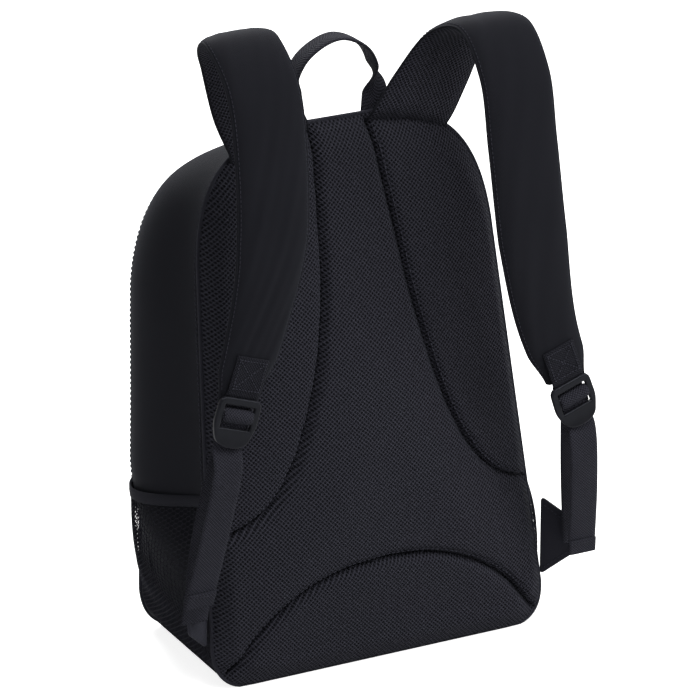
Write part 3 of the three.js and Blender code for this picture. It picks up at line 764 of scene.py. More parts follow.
@dataclass
class Shell:
    """The sewn cloth shell: gusset, base, front panels and piping."""

    form: BagForm
    columns: int = 420
    cloth: float = 2.4 * MM

    def strip(self, low: float, high: float, start: np.ndarray | None, end: np.ndarray | None, rows: int,
              proud: float = 0.0) -> np.ndarray:
        """A stretch of gusset between two heights of the back seam, over the top of the bag.

        Args:
            low: where it starts on the right side, a height in metres.
            high: where it ends on the same side, or a negative number to cross to the left side.
            start: share across the gusset where it begins, or None for the back seam.
            end: share where it ends, or None for the front seam.
            rows: how many rows across.
            proud: how far it stands out, in metres.

        Returns:
            The grid of points.
        """
        count = self.columns
        back = self.form.back_outline(count)
        front = self.form.front_outline(count)
        half = count // 2
        height = back[:, 1]
        index = np.arange(count)
        if high < 0:
            first = int(np.argmax(height[:half] >= low))
            keep = index[first:count - first + 1]
        else:
            keep = index[:half][(height[:half] >= low) & (height[:half] <= high)]
        begin = np.full(len(keep), 0.012) if start is None else start[keep]
        finish = np.full(len(keep), 0.992) if end is None else end[keep]
        shares = np.linspace(0, 1, rows)
        grid = [self.form.gusset_point(back[keep], front[keep], begin + (finish - begin) * s,
                                       proud) for s in shares]
        return np.array(grid)

    def share(self, distance: float) -> np.ndarray:
        """Share across the gusset of a line behind the front seam, at every outline point."""
        form = self.form
        return form.share_before_front(form.back_outline(self.columns), form.front_outline(self.columns),
                                       distance)

    def build_gusset(self) -> None:
        """The long gusset from base seam to base seam, and the patches under the ends of the main zip."""
        seam = 40 * MM
        tape = self.share(self.form.zip_inset + ZIP_TAPE)
        behind_zip = self.form.straight_depth(seam, self.form.front_height) - self.form.zip_inset - ZIP_TAPE
        cut = (self.form.seam_length(seam, 1.0), behind_zip)
        cloth_sheet("long_gusset", self.strip(seam, -1, None, tape, 46)[:, ::-1], CLOTH, self.cloth, "pack",
                    ("upper_gusset", "lower_gusset_left", "lower_gusset_right"), cut)
        points = self.strip(seam, self.form.flap_height + 3.4 * MM, tape, None, 16)
        for side in Side:
            grid = points * np.array([side.value, 1, 1])
            grid = grid[:, ::-1] if side is Side.RIGHT else grid
            cloth_sheet(f"zip_end_gusset_{side.word}", grid, CLOTH, self.cloth, "pack",
                        (f"zip_end_patch_{side.word}",),
                        (self.form.flap_height - seam, self.form.zip_inset + ZIP_TAPE))

    def build_base(self) -> None:
        """The base panel with its turned corners."""
        count = self.columns
        back = self.form.back_outline(count)
        front = self.form.front_outline(count)
        half = count // 2
        low = int(np.argmax(back[:half, 1] >= 40 * MM))
        keep = np.r_[np.arange(count - low, count), np.arange(0, low + 1)]
        grid = np.array([self.form.gusset_point(back[keep], front[keep], np.full(len(keep), s))
                         for s in np.linspace(0.012, 0.992, 34)])
        grid[..., 2] = np.maximum(grid[..., 2], 0.0004)
        cut = (self.form.seam_length(0.0, 40 * MM), self.form.straight_depth(0.0, 40 * MM))
        cloth_sheet("base_cloth", grid[:, ::-1], CLOTH, 1.8 * MM, "pack", ("base_panel",), cut)

    def front_grid(self) -> tuple[np.ndarray, int]:
        """Rings of points over the whole front panel, and how many points each ring has."""
        form = self.form
        seam = form.front_outline(self.columns)
        middle = 0.46 * form.back_height
        rings = []
        for scale in np.linspace(1.0, 0.02, 60):
            x = seam[:, 0] * scale
            z = middle + (seam[:, 1] - middle) * scale
            full = form.front_crown * (1 - scale ** 2) * smoothstep(z, -60 * MM, 90 * MM)
            uneven = ripple(x, z, 0.12, 5) * 0.9 * MM * (1 - scale ** 6)
            rings.append(np.stack([x, form.front_y(z) + full + uneven, z], axis=1))
        return np.array(rings), self.columns

    def build_front(self) -> None:
        """The lower front panel, and the flap above it that folds out when the zip is undone."""
        rings, count = self.front_grid()
        vertices = rings.reshape(-1, 3)
        faces = grid_faces(len(rings), count, closed=True)
        faces.append(tuple((len(rings) - 1) * count + k for k in range(count)))
        lean = np.array([vertices[list(face), 2].mean() for face in faces])
        uv = vertices[:, [0, 2]]
        for name, keep, body, nodes in (
            ("front_panel_cloth", lean < self.form.flap_height, "pack", ("front_panel_lower",)),
            ("front_flap_cloth", lean >= self.form.flap_height, "front_flap", ("front_flap",)),
        ):
            chosen = [face[::-1] for face, use in zip(faces, keep) if use]
            used = sorted({i for face in chosen for i in face})
            renumber = {old: new for new, old in enumerate(used)}
            piece = mesh_piece(name, vertices[used], [tuple(renumber[i] for i in face) for face in chosen],
                               CLOTH, uv[used])
            thicken(piece, self.cloth)
            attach(piece, body)
            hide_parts(*nodes)
            fold = self.form.flap_height
            low, high = (0.0, fold) if body == "pack" else (fold, self.form.front_height)
            cut, cut_area = self.form.flat_front(low, high)
            LOG.info("%s built", name)
        strip = self.strip(self.form.flap_height, -1, self.share(self.form.zip_inset - ZIP_TAPE), None, 6)
        cut = (self.form.seam_length(self.form.flap_height, 1.0), self.form.zip_inset - ZIP_TAPE)
        cloth_sheet("flap_edge_strip", strip[:, ::-1], CLOTH, self.cloth, "front_flap", (), cut)

    def build_piping(self) -> None:
        """Piping round the back seam, and round the front seam on each side of the flap's fold."""
        line = self.form.back_outline(360)
        points = np.stack([line[:, 0], self.form.back_y(line[:, 1]), np.maximum(line[:, 1], 1.7 * MM)],
                          axis=1)
        back = cord_tube("back_piping", points, 1.7 * MM, PIPING, closed=True)
        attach(back, "pack")
        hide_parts("back_seam_piping")
        line = self.form.front_outline(360)
        points = np.stack([line[:, 0], self.form.front_y(line[:, 1]), np.maximum(line[:, 1], 1.7 * MM)],
                          axis=1)
        first = int(np.argmax(points[:180, 2] >= self.form.flap_height))
        flap = cord_tube("front_piping_flap", points[first:360 - first + 1], 1.7 * MM, PIPING, closed=False)
        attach(flap, "front_flap")
        low = np.vstack([points[360 - first + 1:], points[:first]])
        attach(cord_tube("front_piping_low", low, 1.7 * MM, PIPING, closed=False), "pack")

    def build_stitching(self) -> None:
        """Top-stitching beside the back seam and beside the main zip."""
        for name, share in (("gusset_stitches_back", np.full(self.columns, 0.045)),
                            ("gusset_stitches_zip", self.share(self.form.zip_inset + 14 * MM))):
            grid = self.strip(60 * MM, -1, share, share, 1, 0.15 * MM)[0]
            lifted = self.strip(60 * MM, -1, share, share, 1, 2 * MM)[0]
            stitch_row(name, grid, lifted - grid, "pack")

    def build(self) -> None:
        """Every piece of the shell."""
        self.build_gusset()
        self.build_base()
        self.build_front()
        self.build_piping()
        self.build_stitching()


@dataclass
class BackPads:
    """The padded back panel: two wings, a centre and a lumbar pad, parted by sewn channels."""

    form: BagForm
    wing_seam: tuple = ((24, 440), (30, 380), (41, 290), (58, 222), (79, 172), (106, 140), (175, 108))
    lumbar_seam: tuple = ((0, 90), (40, 86), (76, 73), (110, 49), (134, 20), (175, -22))
    pad: float = 13 * MM
    edge: float = 4.5 * MM
    channel: float = 6.5 * MM
    ring_points: int = 560
    rings: int = 110

    def seams(self) -> list[np.ndarray]:
        """The sewn channels in X and Z: both wing seams and the lumbar seam."""
        wing = smooth_line([(x, z) for x, z in self.wing_seam], 160)
        low = smooth_line([(x, z) for x, z in self.lumbar_seam], 120)
        flip = np.array([-1, 1])
        return [wing, wing * flip, np.vstack([(low * flip)[::-1], low[1:]])]

    def distance(self, x: np.ndarray, z: np.ndarray) -> np.ndarray:
        """Distance in metres to the nearest sewn channel."""
        best = np.full(x.shape, 1.0)
        for line in self.seams():
            for a, b in zip(line[:-1:2], line[2::2]):
                step = b - a
                t = np.clip(((x - a[0]) * step[0] + (z - a[1]) * step[1]) / (step @ step), 0, 1)
                best = np.minimum(best, np.hypot(x - a[0] - t * step[0], z - a[1] - t * step[1]))
        return best

    def depth(self, x: np.ndarray, z: np.ndarray, scale: np.ndarray) -> np.ndarray:
        """Y of the padded surface at X and Z.

        Args:
            x: across the panel, in metres.
            z: height, in metres.
            scale: share of the way from the panel's middle to its seam.

        Returns:
            Y in metres.
        """
        full = self.form.back_crown * (1 - scale ** 2) * smoothstep(z, -60 * MM, 90 * MM)
        near = self.distance(x, z)
        rim = smoothstep(1 - scale, 0.0, 0.10)
        puff = self.edge + (self.pad - self.edge) * rim * (1 - 0.35 * np.exp(-near / (20 * MM)))
        groove = self.channel * np.exp(-(near / (3.6 * MM)) ** 2) * smoothstep(1 - scale, 0.0, 0.03)
        uneven = ripple(x, z, 0.11, 21) * 0.8 * MM * rim
        tuck = ripple(x * 3, z * 3, 0.09, 8) * 0.7 * MM * np.exp(-near / (9 * MM)) * rim
        return self.form.back_y(z) - full - puff * smoothstep(1 - scale, -0.01, 0.03) + groove + uneven + tuck

    def surface(self, x: np.ndarray, z: np.ndarray) -> np.ndarray:
        """The padded surface's points over X and Z."""
        scale = self.form.radial(x, z, self.form.back_outline(720), 0.46 * self.form.back_height)
        return np.stack([x, self.depth(x, z, scale), z], axis=-1)


    def build(self) -> None:
        """The four pads and the stitch rows beside their channels."""
        seam = self.form.back_outline(self.ring_points)
        middle = 0.46 * self.form.back_height
        rings = []
        for scale in np.concatenate([[1.0, 0.996, 0.99], np.linspace(0.98, 0.02, self.rings)]):
            x = seam[:, 0] * scale
            z = middle + (seam[:, 1] - middle) * scale
            rings.append(np.stack([x, self.depth(x, z, np.full(len(x), scale)), z], axis=1))
        vertices = np.array(rings).reshape(-1, 3)
        faces = grid_faces(len(rings), self.ring_points, closed=True)
        faces.append(tuple((len(rings) - 1) * self.ring_points + k for k in range(self.ring_points)))
        centres = np.array([vertices[list(face)].mean(axis=0) for face in faces])
        wing, _, low = self.seams()
        order = np.argsort(wing[:, 0])
        wing_z = np.interp(np.abs(centres[:, 0]), wing[order, 0], wing[order, 1])
        low_z = np.interp(centres[:, 0], low[:, 0], low[:, 1])
        lumbar = centres[:, 2] < low_z
        wings = (centres[:, 2] > wing_z) & (np.abs(centres[:, 0]) > wing[:, 0].min()) & ~lumbar
        keys = np.where(lumbar, "lumbar",
                        np.where(wings, np.where(centres[:, 0] < 0, "wing_left", "wing_right"), "centre"))
        self.snap_to_seams(vertices, faces, keys)
        nodes = {"lumbar": ("lumbar_pad",), "wing_left": ("back_pad_wing_left",),
                 "wing_right": ("back_pad_wing_right",), "centre": ("back_pad_centre", "back_panel")}
        for key, stands_for in nodes.items():
            chosen = [face for face, k in zip(faces, keys) if k == key]
            used = sorted({i for face in chosen for i in face})
            renumber = {old: new for new, old in enumerate(used)}
            piece = mesh_piece(f"{key}_pad_mesh", vertices[used],
                               [tuple(renumber[i] for i in face) for face in chosen],
                               SPACER, vertices[used][:, [0, 2]])
            thicken(piece, 3 * MM)
            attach(piece, "pack")
            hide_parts(*stands_for)
            LOG.info("%s pad: %d faces", key, len(chosen))
        self.build_stitches()

    def snap_to_seams(self, vertices: np.ndarray, faces: list, keys: np.ndarray) -> None:
        """Moves the points between two pads onto the sewn line, so that each pad ends in a clean edge.

        Args:
            vertices: the panel's points, changed in place.
            faces: point indices of each face.
            keys: the pad that each face belongs to.
        """
        names = sorted(set(keys))
        touching = np.zeros((len(vertices), len(names)), bool)
        for face, key in zip(faces, keys):
            touching[list(face), names.index(key)] = True
        border = np.flatnonzero(touching.sum(axis=1) > 1)
        line = np.vstack([resample(seam, 900) for seam in self.seams()])
        for index in border:
            gap = np.hypot(line[:, 0] - vertices[index, 0], line[:, 1] - vertices[index, 2])
            nearest = int(np.argmin(gap))
            if gap[nearest] < 5 * MM and index >= self.ring_points:
                vertices[index] = self.surface(line[nearest:nearest + 1, 0], line[nearest:nearest + 1, 1])[0]

    def build_stitches(self) -> None:
        """A row of stitches on the pads beside every channel."""
        names = ("wing_right", "wing_left", "lumbar")
        outline = self.form.back_outline(720)
        for name, line in zip(names, self.seams()):
            along = directions(line)
            beside = line + np.stack([-along[:, 1], along[:, 0]],
                                     axis=1) * 3.4 * MM * (-1 if name == "wing_left" else 1)
            scale = self.form.radial(beside[:, 0], beside[:, 1], outline, 0.46 * self.form.back_height)
            inside = beside[(scale < 0.985) & (beside[:, 1] > 0)]
            points = self.surface(inside[:, 0], inside[:, 1])
            points[:, 1] -= 0.3 * MM
            out = np.tile(np.array([0.0, -1.0, 0.0]), (len(points), 1))
            stitch_row(f"pad_stitches_{name}", points, out, "pack", 4.4 * MM, 0.6 * MM)


@dataclass
class MainZip:
    """The wrap-round zip: two tapes, the coil, and two sliders with their pullers."""

    shell: Shell
    tape: float = 11 * MM

    def build_tapes(self) -> None:
        """Both tapes and their rows of coil."""
        inset = self.shell.form.zip_inset
        low = self.shell.form.flap_height - 5 * MM
        spans = {
            "rear": (inset + self.tape + 1 * MM, inset + 0.4 * MM, "pack"),
            "front": (inset - 0.4 * MM, inset - self.tape - 1 * MM, "front_flap"),
        }
        for name, (start, end, body) in spans.items():
            grid = self.shell.strip(low, -1, self.shell.share(start), self.shell.share(end), 6, -0.9 * MM)
            cloth_sheet(f"zip_tape_{name}", grid[:, ::-1], TAPE, 1.0 * MM, body, (f"main_zip_tape_{name}",),
                        (self.shell.form.seam_length(self.shell.form.flap_height, 1.0), self.tape))
            at = inset + (0.9 * MM if name == "rear" else -0.9 * MM)
            share = self.shell.share(at)
            line = self.shell.strip(low, -1, share, share, 1, -0.2 * MM)[0]
            lifted = self.shell.strip(low, -1, share, share, 1, 2 * MM)[0]
            self.build_coil(f"zip_coil_{name}", line, lifted - line, body)

    def build_coil(self, name: str, line: np.ndarray, out: np.ndarray, body: str) -> None:
        """A row of moulded coil teeth across the line."""
        pitch = 1.5 * MM
        length = float(np.linalg.norm(np.diff(line, axis=0), axis=1).sum())
        both = resample(np.hstack([line, out]), int(length / pitch))
        normals = both[:, 3:] / np.linalg.norm(both[:, 3:], axis=1, keepdims=True)
        along = directions(both[:, :3])
        across = np.cross(along, normals)
        corners = [(-1, -1, 0), (1, -1, 0), (1, 1, 0), (-1, 1, 0), (-0.7, -0.8, 1), (0.7, -0.8, 1),
                   (0.7, 0.8, 1), (-0.7, 0.8, 1)]
        block = [(0, 3, 2, 1), (4, 5, 6, 7), (0, 1, 5, 4), (1, 2, 6, 5), (2, 3, 7, 6), (3, 0, 4, 7)]
        vertices = []
        faces = []
        for centre, t, n, b in zip(both[:, :3], along, normals, across):
            start = len(vertices)
            for a, c, h in corners:
                vertices.append(centre + t * a * 0.52 * MM + b * c * 1.5 * MM + n * h * 1.1 * MM)
            faces += [tuple(start + i for i in face) for face in block]
        piece = mesh_piece(name, np.array(vertices), faces, PLASTIC)
        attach(piece, body)

    def build(self) -> None:
        """Tapes, coils and pulls."""
        self.build_tapes()
        for side in Side:
            zip_pull(f"main_zip_{side.word}", f"main_slider_{side.word}", f"main_puller_{side.word}")



def soft_block(name: str, outline: list[tuple[float, float]], depth: float, bevel: float, finish: Finish,
               holes: tuple = ()) -> bpy.types.Object:
    """A plate with rounded edges from a flat outline and its holes, centred on Z.

    Args:
        name: the piece's name.
        outline: corner points in metres.
        depth: thickness in metres.
        bevel: radius of the rounded edges in metres.
        finish: its finish.
        holes: outlines of the holes.

    Returns:
        The piece, lying in the XY plane.
    """
    curve = bpy.data.curves.new(name, "CURVE")
    curve.dimensions = "2D"
    curve.fill_mode = "BOTH"
    curve.extrude = depth / 2 - bevel
    curve.bevel_depth = bevel
    curve.bevel_resolution = 3
    for loop in (outline, *holes):
        spline = curve.splines.new("POLY")
        spline.points.add(len(loop) - 1)
        for spot, (x, y) in zip(spline.points, loop):
            spot.co = (x, y, 0, 1)
        spline.use_cyclic_u = True
    holder = bpy.data.objects.new(name, curve)
    mesh = bpy.data.meshes.new_from_object(holder)
    bpy.data.objects.remove(holder)
    bpy.data.curves.remove(curve)
    mesh.materials.clear()
    mesh.materials.append(finish.material())
    layer = mesh.uv_layers.new(name="surface")
    for corner in mesh.loops:
        spot = mesh.vertices[corner.vertex_index].co
        layer.data[corner.index].uv = (spot.x, spot.y)
    mesh.polygons.foreach_set("use_smooth", [True] * len(mesh.polygons))
    mesh.set_sharp_from_angle(angle=math.radians(50))
    piece = bpy.data.objects.new(name, mesh)
    bpy.context.scene.collection.objects.link(piece)
    return piece


def rounded(points: list[tuple[float, float]], radius: float, steps: int = 5) -> list[tuple[float, float]]:
    """The outline with its corners turned to arcs.

    Args:
        points: corners in order, in metres.
        radius: of the turn, in metres.
        steps: points on each turn.

    Returns:
        The new outline.
    """
    loop = []
    count = len(points)
    for k in range(count):
        a, b, c = (np.array(points[(k + j) % count], float) for j in (-1, 0, 1))
        back = a - b
        onward = c - b
        reach = min(radius, np.linalg.norm(back) / 2.2, np.linalg.norm(onward) / 2.2)
        start = b + back / np.linalg.norm(back) * reach
        end = b + onward / np.linalg.norm(onward) * reach
        for t in np.linspace(0, 1, steps):
            spot = (1 - t) ** 2 * start + 2 * t * (1 - t) * b + t * t * end
            loop.append((float(spot[0]), float(spot[1])))
    return loop


def stand(piece: bpy.types.Object, origin: np.ndarray, x_axis: np.ndarray, y_axis: np.ndarray) -> None:
    """Moves a flat piece's mesh so that its own X and Y lie along two directions of the bag."""
    z_axis = np.cross(x_axis, y_axis)
    turn = np.stack([x_axis, y_axis, z_axis], axis=1)
    for vertex in piece.data.vertices:
        vertex.co = Vector(turn @ np.array(vertex.co) + origin)
    piece.data.update()


def zip_pull(stem: str, slider_body: str, puller_body: str) -> None:
    """A slider and its puller, in the place and at the tilt of their CAD nodes.

    Args:
        stem: start of the CAD nodes' names.
        slider_body: the slider's body.
        puller_body: the puller's body.
    """
    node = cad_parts[f"{stem}_puller"]
    spots = np.array([vertex.co for vertex in node.data.vertices])
    low, high = (np.array(c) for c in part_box(f"{stem}_puller"))
    centre = (low + high) / 2
    spread = np.linalg.svd(spots - spots.mean(axis=0), full_matrices=False)[2]
    hang = spread[0] if spread[0][2] < 0 else -spread[0]
    x_axis = np.array([1.0, 0.0, 0.0])
    length = 26 * MM
    top = centre - hang * length / 2
    outline = rounded([(-2.4 * MM, 0), (2.4 * MM, 0), (3.6 * MM, -length), (-3.6 * MM, -length)], 2.4 * MM)
    eye = rounded([(-1.3 * MM, -2 * MM), (1.3 * MM, -2 * MM), (1.4 * MM, -6 * MM), (-1.4 * MM, -6 * MM)],
                  1 * MM)
    grip = rounded([(-1.7 * MM, -11 * MM), (1.7 * MM, -11 * MM), (2.1 * MM, -22 * MM), (-2.1 * MM, -22 * MM)],
                   1 * MM)
    puller = soft_block(f"{stem}_pull_tab", outline, 1.9 * MM, 0.6 * MM, PLASTIC, (eye, grip))
    stand(puller, top, x_axis, -hang)
    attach(puller, puller_body)
    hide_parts(f"{stem}_puller")
    low, high = (np.array(c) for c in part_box(f"{stem}_slider"))
    centre = (low + high) / 2
    tilt = math.atan2((high - low)[2] - 3.2 * MM, 10 * MM) if "main" in stem else 0.0
    y_axis = np.array([0.0, math.cos(tilt), -math.sin(tilt)])
    body = rounded([(-6.5 * MM, -3 * MM), (-3 * MM, -4.6 * MM), (5.5 * MM, -4 * MM), (5.5 * MM, 4 * MM),
                    (-3 * MM, 4.6 * MM), (-6.5 * MM, 3 * MM)], 1.6 * MM)
    slider = soft_block(f"{stem}_slider_body", body, 3.4 * MM, 0.8 * MM, PLASTIC)
    stand(slider, centre, x_axis, y_axis)
    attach(slider, slider_body)
    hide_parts(f"{stem}_slider")
    out = np.cross(x_axis, y_axis)
    arch = [centre + out * h * MM + y_axis * d * MM for d,
            h in ((-3.5, 1.2), (-2.2, 3.4), (1.5, 3.7), (4.5, 3.0), (6.8, 1.4))]
    bridge = Ribbon(smooth_line([tuple(p / MM) for p in arch], 16), lambda u: np.full(len(u), 2.2 * MM),
                    1.0 * MM,
                    lambda u: np.tile(x_axis, (len(u), 1)), 2)
    made = bridge.mesh(f"{stem}_slider_bridge", PLASTIC)
    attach(made, slider_body)


@dataclass
class FrontPocket:
    """The front pocket with its zip along the top."""

    form: BagForm
    low: float = 14 * MM
    top: float = 176 * MM
    half: float = 116 * MM
    depth: float = 46 * MM
    rows: tuple = ((0, 0.80), (0.12, 0.90), (0.3, 0.97), (0.6, 1.0), (0.9, 0.94), (1.0, 0.87))

    def rim(self, x: np.ndarray, z: np.ndarray, up: np.ndarray) -> np.ndarray:
        """Y of the pocket's outer face."""
        shares, full = np.array(self.rows).T
        half = self.half - 6 * MM * up
        across = np.clip(np.abs(x) / half, 0, 1)
        swell = self.depth * np.interp(up, shares, full) * (1 - across ** 6) ** 0.8
        uneven = ripple(x, z, 0.07, 12) * 0.9 * MM * (1 - across ** 4)
        return self.form.front_y(z) + swell + uneven

    def build(self) -> None:
        """Body, lid strips, zip, piping and stitches."""
        columns = 150
        rows = 70
        grid = np.zeros((rows, columns, 3))
        for r, up in enumerate(np.linspace(0, 1, rows)):
            z = self.low + (self.top - self.low) * up
            half = self.half - 6 * MM * up
            bend = np.linspace(-math.pi / 2, math.pi / 2, columns)
            x = np.sin(bend) * half
            y = self.rim(x, np.full(columns, z), np.full(columns, up))
            y = np.where(np.abs(np.abs(x) - half) < 1e-6, self.form.front_y(z) - 1 * MM, y)
            grid[r] = np.stack([x, y, np.full(columns, z)], axis=1)
        cloth_sheet("front_pocket_face", grid[:, ::-1], CLOTH, 1.6 * MM, "pack", ("front_pocket",),
                    (2 * (self.half + self.depth), self.top - self.low))
        edge = grid[-1]
        inner = edge.copy()
        inner[:, 1] = self.form.front_y(self.top) + 4 * MM
        keep = edge[:, 1] > inner[:, 1] + 1 * MM
        edge = edge[keep]
        inner = inner[keep]
        line_y = self.form.front_y(self.top) + 33 * MM
        zip_edge = edge.copy()
        zip_edge[:, 1] = np.minimum(edge[:, 1] - 1 * MM, line_y)
        lid = np.array([edge, (edge + zip_edge) / 2, zip_edge])
        zip_out = 33 * MM
        rim_out = self.depth * self.rows[-1][1]
        cloth_sheet("front_pocket_lid_rim", lid[:, ::-1], CLOTH, 1.2 * MM, "pack", (),
                    (2 * self.half, rim_out - zip_out))
        lid = np.array([zip_edge, (zip_edge + inner) / 2, inner])
        lid[1, :, 2] += 0.8 * MM
        cloth_sheet("front_pocket_lid_back", lid[:, ::-1], TAPE, 1.2 * MM, "pack", ("front_pocket_zip",),
                    (2 * self.half, zip_out - 4 * MM))
        x = np.linspace(-0.092, 0.092, 120)
        line = np.stack([x, np.full(120, line_y), np.full(120, self.top + 0.2 * MM)], axis=1)
        up = np.tile(np.array([0.0, 0.0, 1.0]), (120, 1))
        MainZip(Shell(self.form)).build_coil("front_pocket_coil", line, up, "pack")
        zip_pull("front_pocket_zip", "pocket_slider", "pocket_puller")
        rim = edge[::2] + np.array([0, 0, 0.4 * MM])
        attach(cord_tube("front_pocket_rim_piping", rim, 1.1 * MM, PIPING, closed=False), "pack")
        base = grid[0][2:-2:2] + np.array([0, -0.2 * MM, 0])
        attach(cord_tube("front_pocket_base_piping", base, 1.1 * MM, PIPING, closed=False), "pack")
        row = grid[-7][6:-6]
        out = np.stack([row[:, 0] * 0, np.ones(len(row)), row[:, 0] * 0], axis=1)
        stitch_row("front_pocket_stitches", row + out * 0.2 * MM, out, "pack")


@dataclass
class SidePocket:
    """An open net pocket on a side gusset, with a bound elastic top."""

    form: BagForm
    side: Side
    base: float = 12 * MM
    top_back: float = 152 * MM
    top_front: float = 127 * MM
    binding: float = 9 * MM
    stand_out: float = 15 * MM
    cell: float = 2.45 * MM

    def top(self, share: np.ndarray) -> np.ndarray:
        """Height of the pocket's rim across the gusset."""
        droop = 4 * MM * np.sin(math.pi * share)
        return self.top_back + (self.top_front - self.top_back) * share - droop

    def point(self, share: np.ndarray, z: np.ndarray, proud: float) -> np.ndarray:
        """Points on the pocket at a share across the gusset and a height."""
        form = self.form
        taper = form.half_base * (1 - form.half_top_share)
        y = form.back_y(z) + (form.front_y(z) - form.back_y(z)) * share
        rise = np.maximum(0, z - form.foot_turn)
        back_wall = form.half_base - taper * rise / 0.3
        front_wall = form.half_base - 3 * MM - 24 * MM * rise / 0.243
        wall = back_wall * (1 - share) + front_wall * share
        swell = form.swell(share, z)
        ends = np.minimum(1, np.sin(math.pi * np.clip((share - 0.02) / 0.93, 0, 1)) ** 0.5 + 0.04)
        snug = 1 - 0.95 * smoothstep(z, 75 * MM, 140 * MM)
        slack = self.stand_out * smoothstep(z, 14 * MM, 70 * MM) * ends * snug
        under = np.maximum(0, form.foot_turn - z)
        x = wall + swell + 0.6 * MM + slack + proud - under ** 2 / (2 * form.foot_turn)
        return np.stack([x * self.side.value, y, z], axis=-1)

    def build_net(self) -> None:
        """Hexagonal net as real cords."""
        wide = 0.118
        tall = self.top_back - self.base
        step_x = self.cell * 1.5
        step_z = self.cell * math.sqrt(3)
        index: dict[tuple[int, int], int] = {}
        spots: list[tuple[float, float]] = []
        faces = []
        for column in range(int(wide / step_x) + 2):
            for row in range(int(tall / step_z) + 2):
                cx = column * step_x
                cz = (row + 0.5 * (column % 2)) * step_z
                face = []
                for k in range(6):
                    angle = k * math.pi / 3
                    x = cx + self.cell * math.cos(angle)
                    z = cz + self.cell * math.sin(angle)
                    key = (round(x / MM * 4), round(z / MM * 4))
                    if key not in index:
                        index[key] = len(spots)
                        spots.append((x, z))
                    face.append(index[key])
                faces.append(tuple(face))
        flat = np.array(spots)
        share = 0.02 + 0.92 * np.clip(flat[:, 0] / wide, 0, 1)
        rim = self.top(share) - self.binding / 2
        z = self.base + (rim - self.base) * np.clip(flat[:, 1] / tall, 0, 1)
        vertices = self.point(share, z, 0.0)
        good = [face for face in faces if max(flat[list(face), 0]) < wide + step_x and max(flat[list(face), 1]) < tall + step_z]
        if self.side is Side.LEFT:
            good = [face[::-1] for face in good]
        piece = mesh_piece(f"net_pocket_{self.side.word}", vertices, good, NET, flat)
        wires = piece.modifiers.new("cords", "WIREFRAME")
        wires.thickness = 0.95 * MM
        wires.use_even_offset = False
        wires.use_boundary = True
        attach(piece, "pack")
        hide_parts(f"side_pocket_net_{self.side.word}")
        LOG.info("net pocket %s: %d cells", self.side.word, len(good))

    def build(self) -> None:
        """The net, its elastic binding, and the turned hem at its foot."""
        self.build_net()
        share = np.linspace(0.012, 0.945, 60)
        rim = self.top(share)
        rows = []
        for up, proud in ((-1, 0.6), (-0.9, 1.4), (0, 1.7), (0.9, 1.4), (1, 0.6), (0.9, -0.3), (0, -0.6),
                          (-0.9, -0.3)):
            rows.append(self.point(share, rim + up * self.binding / 2, proud * MM))
        points = np.array(rows).transpose(1, 0, 2)
        if self.side is Side.LEFT:
            points = points[:, ::-1]
        faces = grid_faces(len(share), 8, closed=True)
        faces.append(tuple(range(8))[::-1])
        faces.append(tuple((len(share) - 1) * 8 + k for k in range(8)))
        band = mesh_piece(f"pocket_binding_{self.side.word}", points.reshape(-1, 3), faces, ELASTIC,
                          grid_lengths(points).reshape(-1, 2))
        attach(band, "pack")
        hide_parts(f"side_pocket_binding_{self.side.word}")
        foot = self.point(np.linspace(0.02, 0.94, 60), np.full(60, self.base), 0.3 * MM)
        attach(cord_tube(f"net_foot_hem_{self.side.word}", foot, 1.4 * MM, ELASTIC, closed=False), "pack")


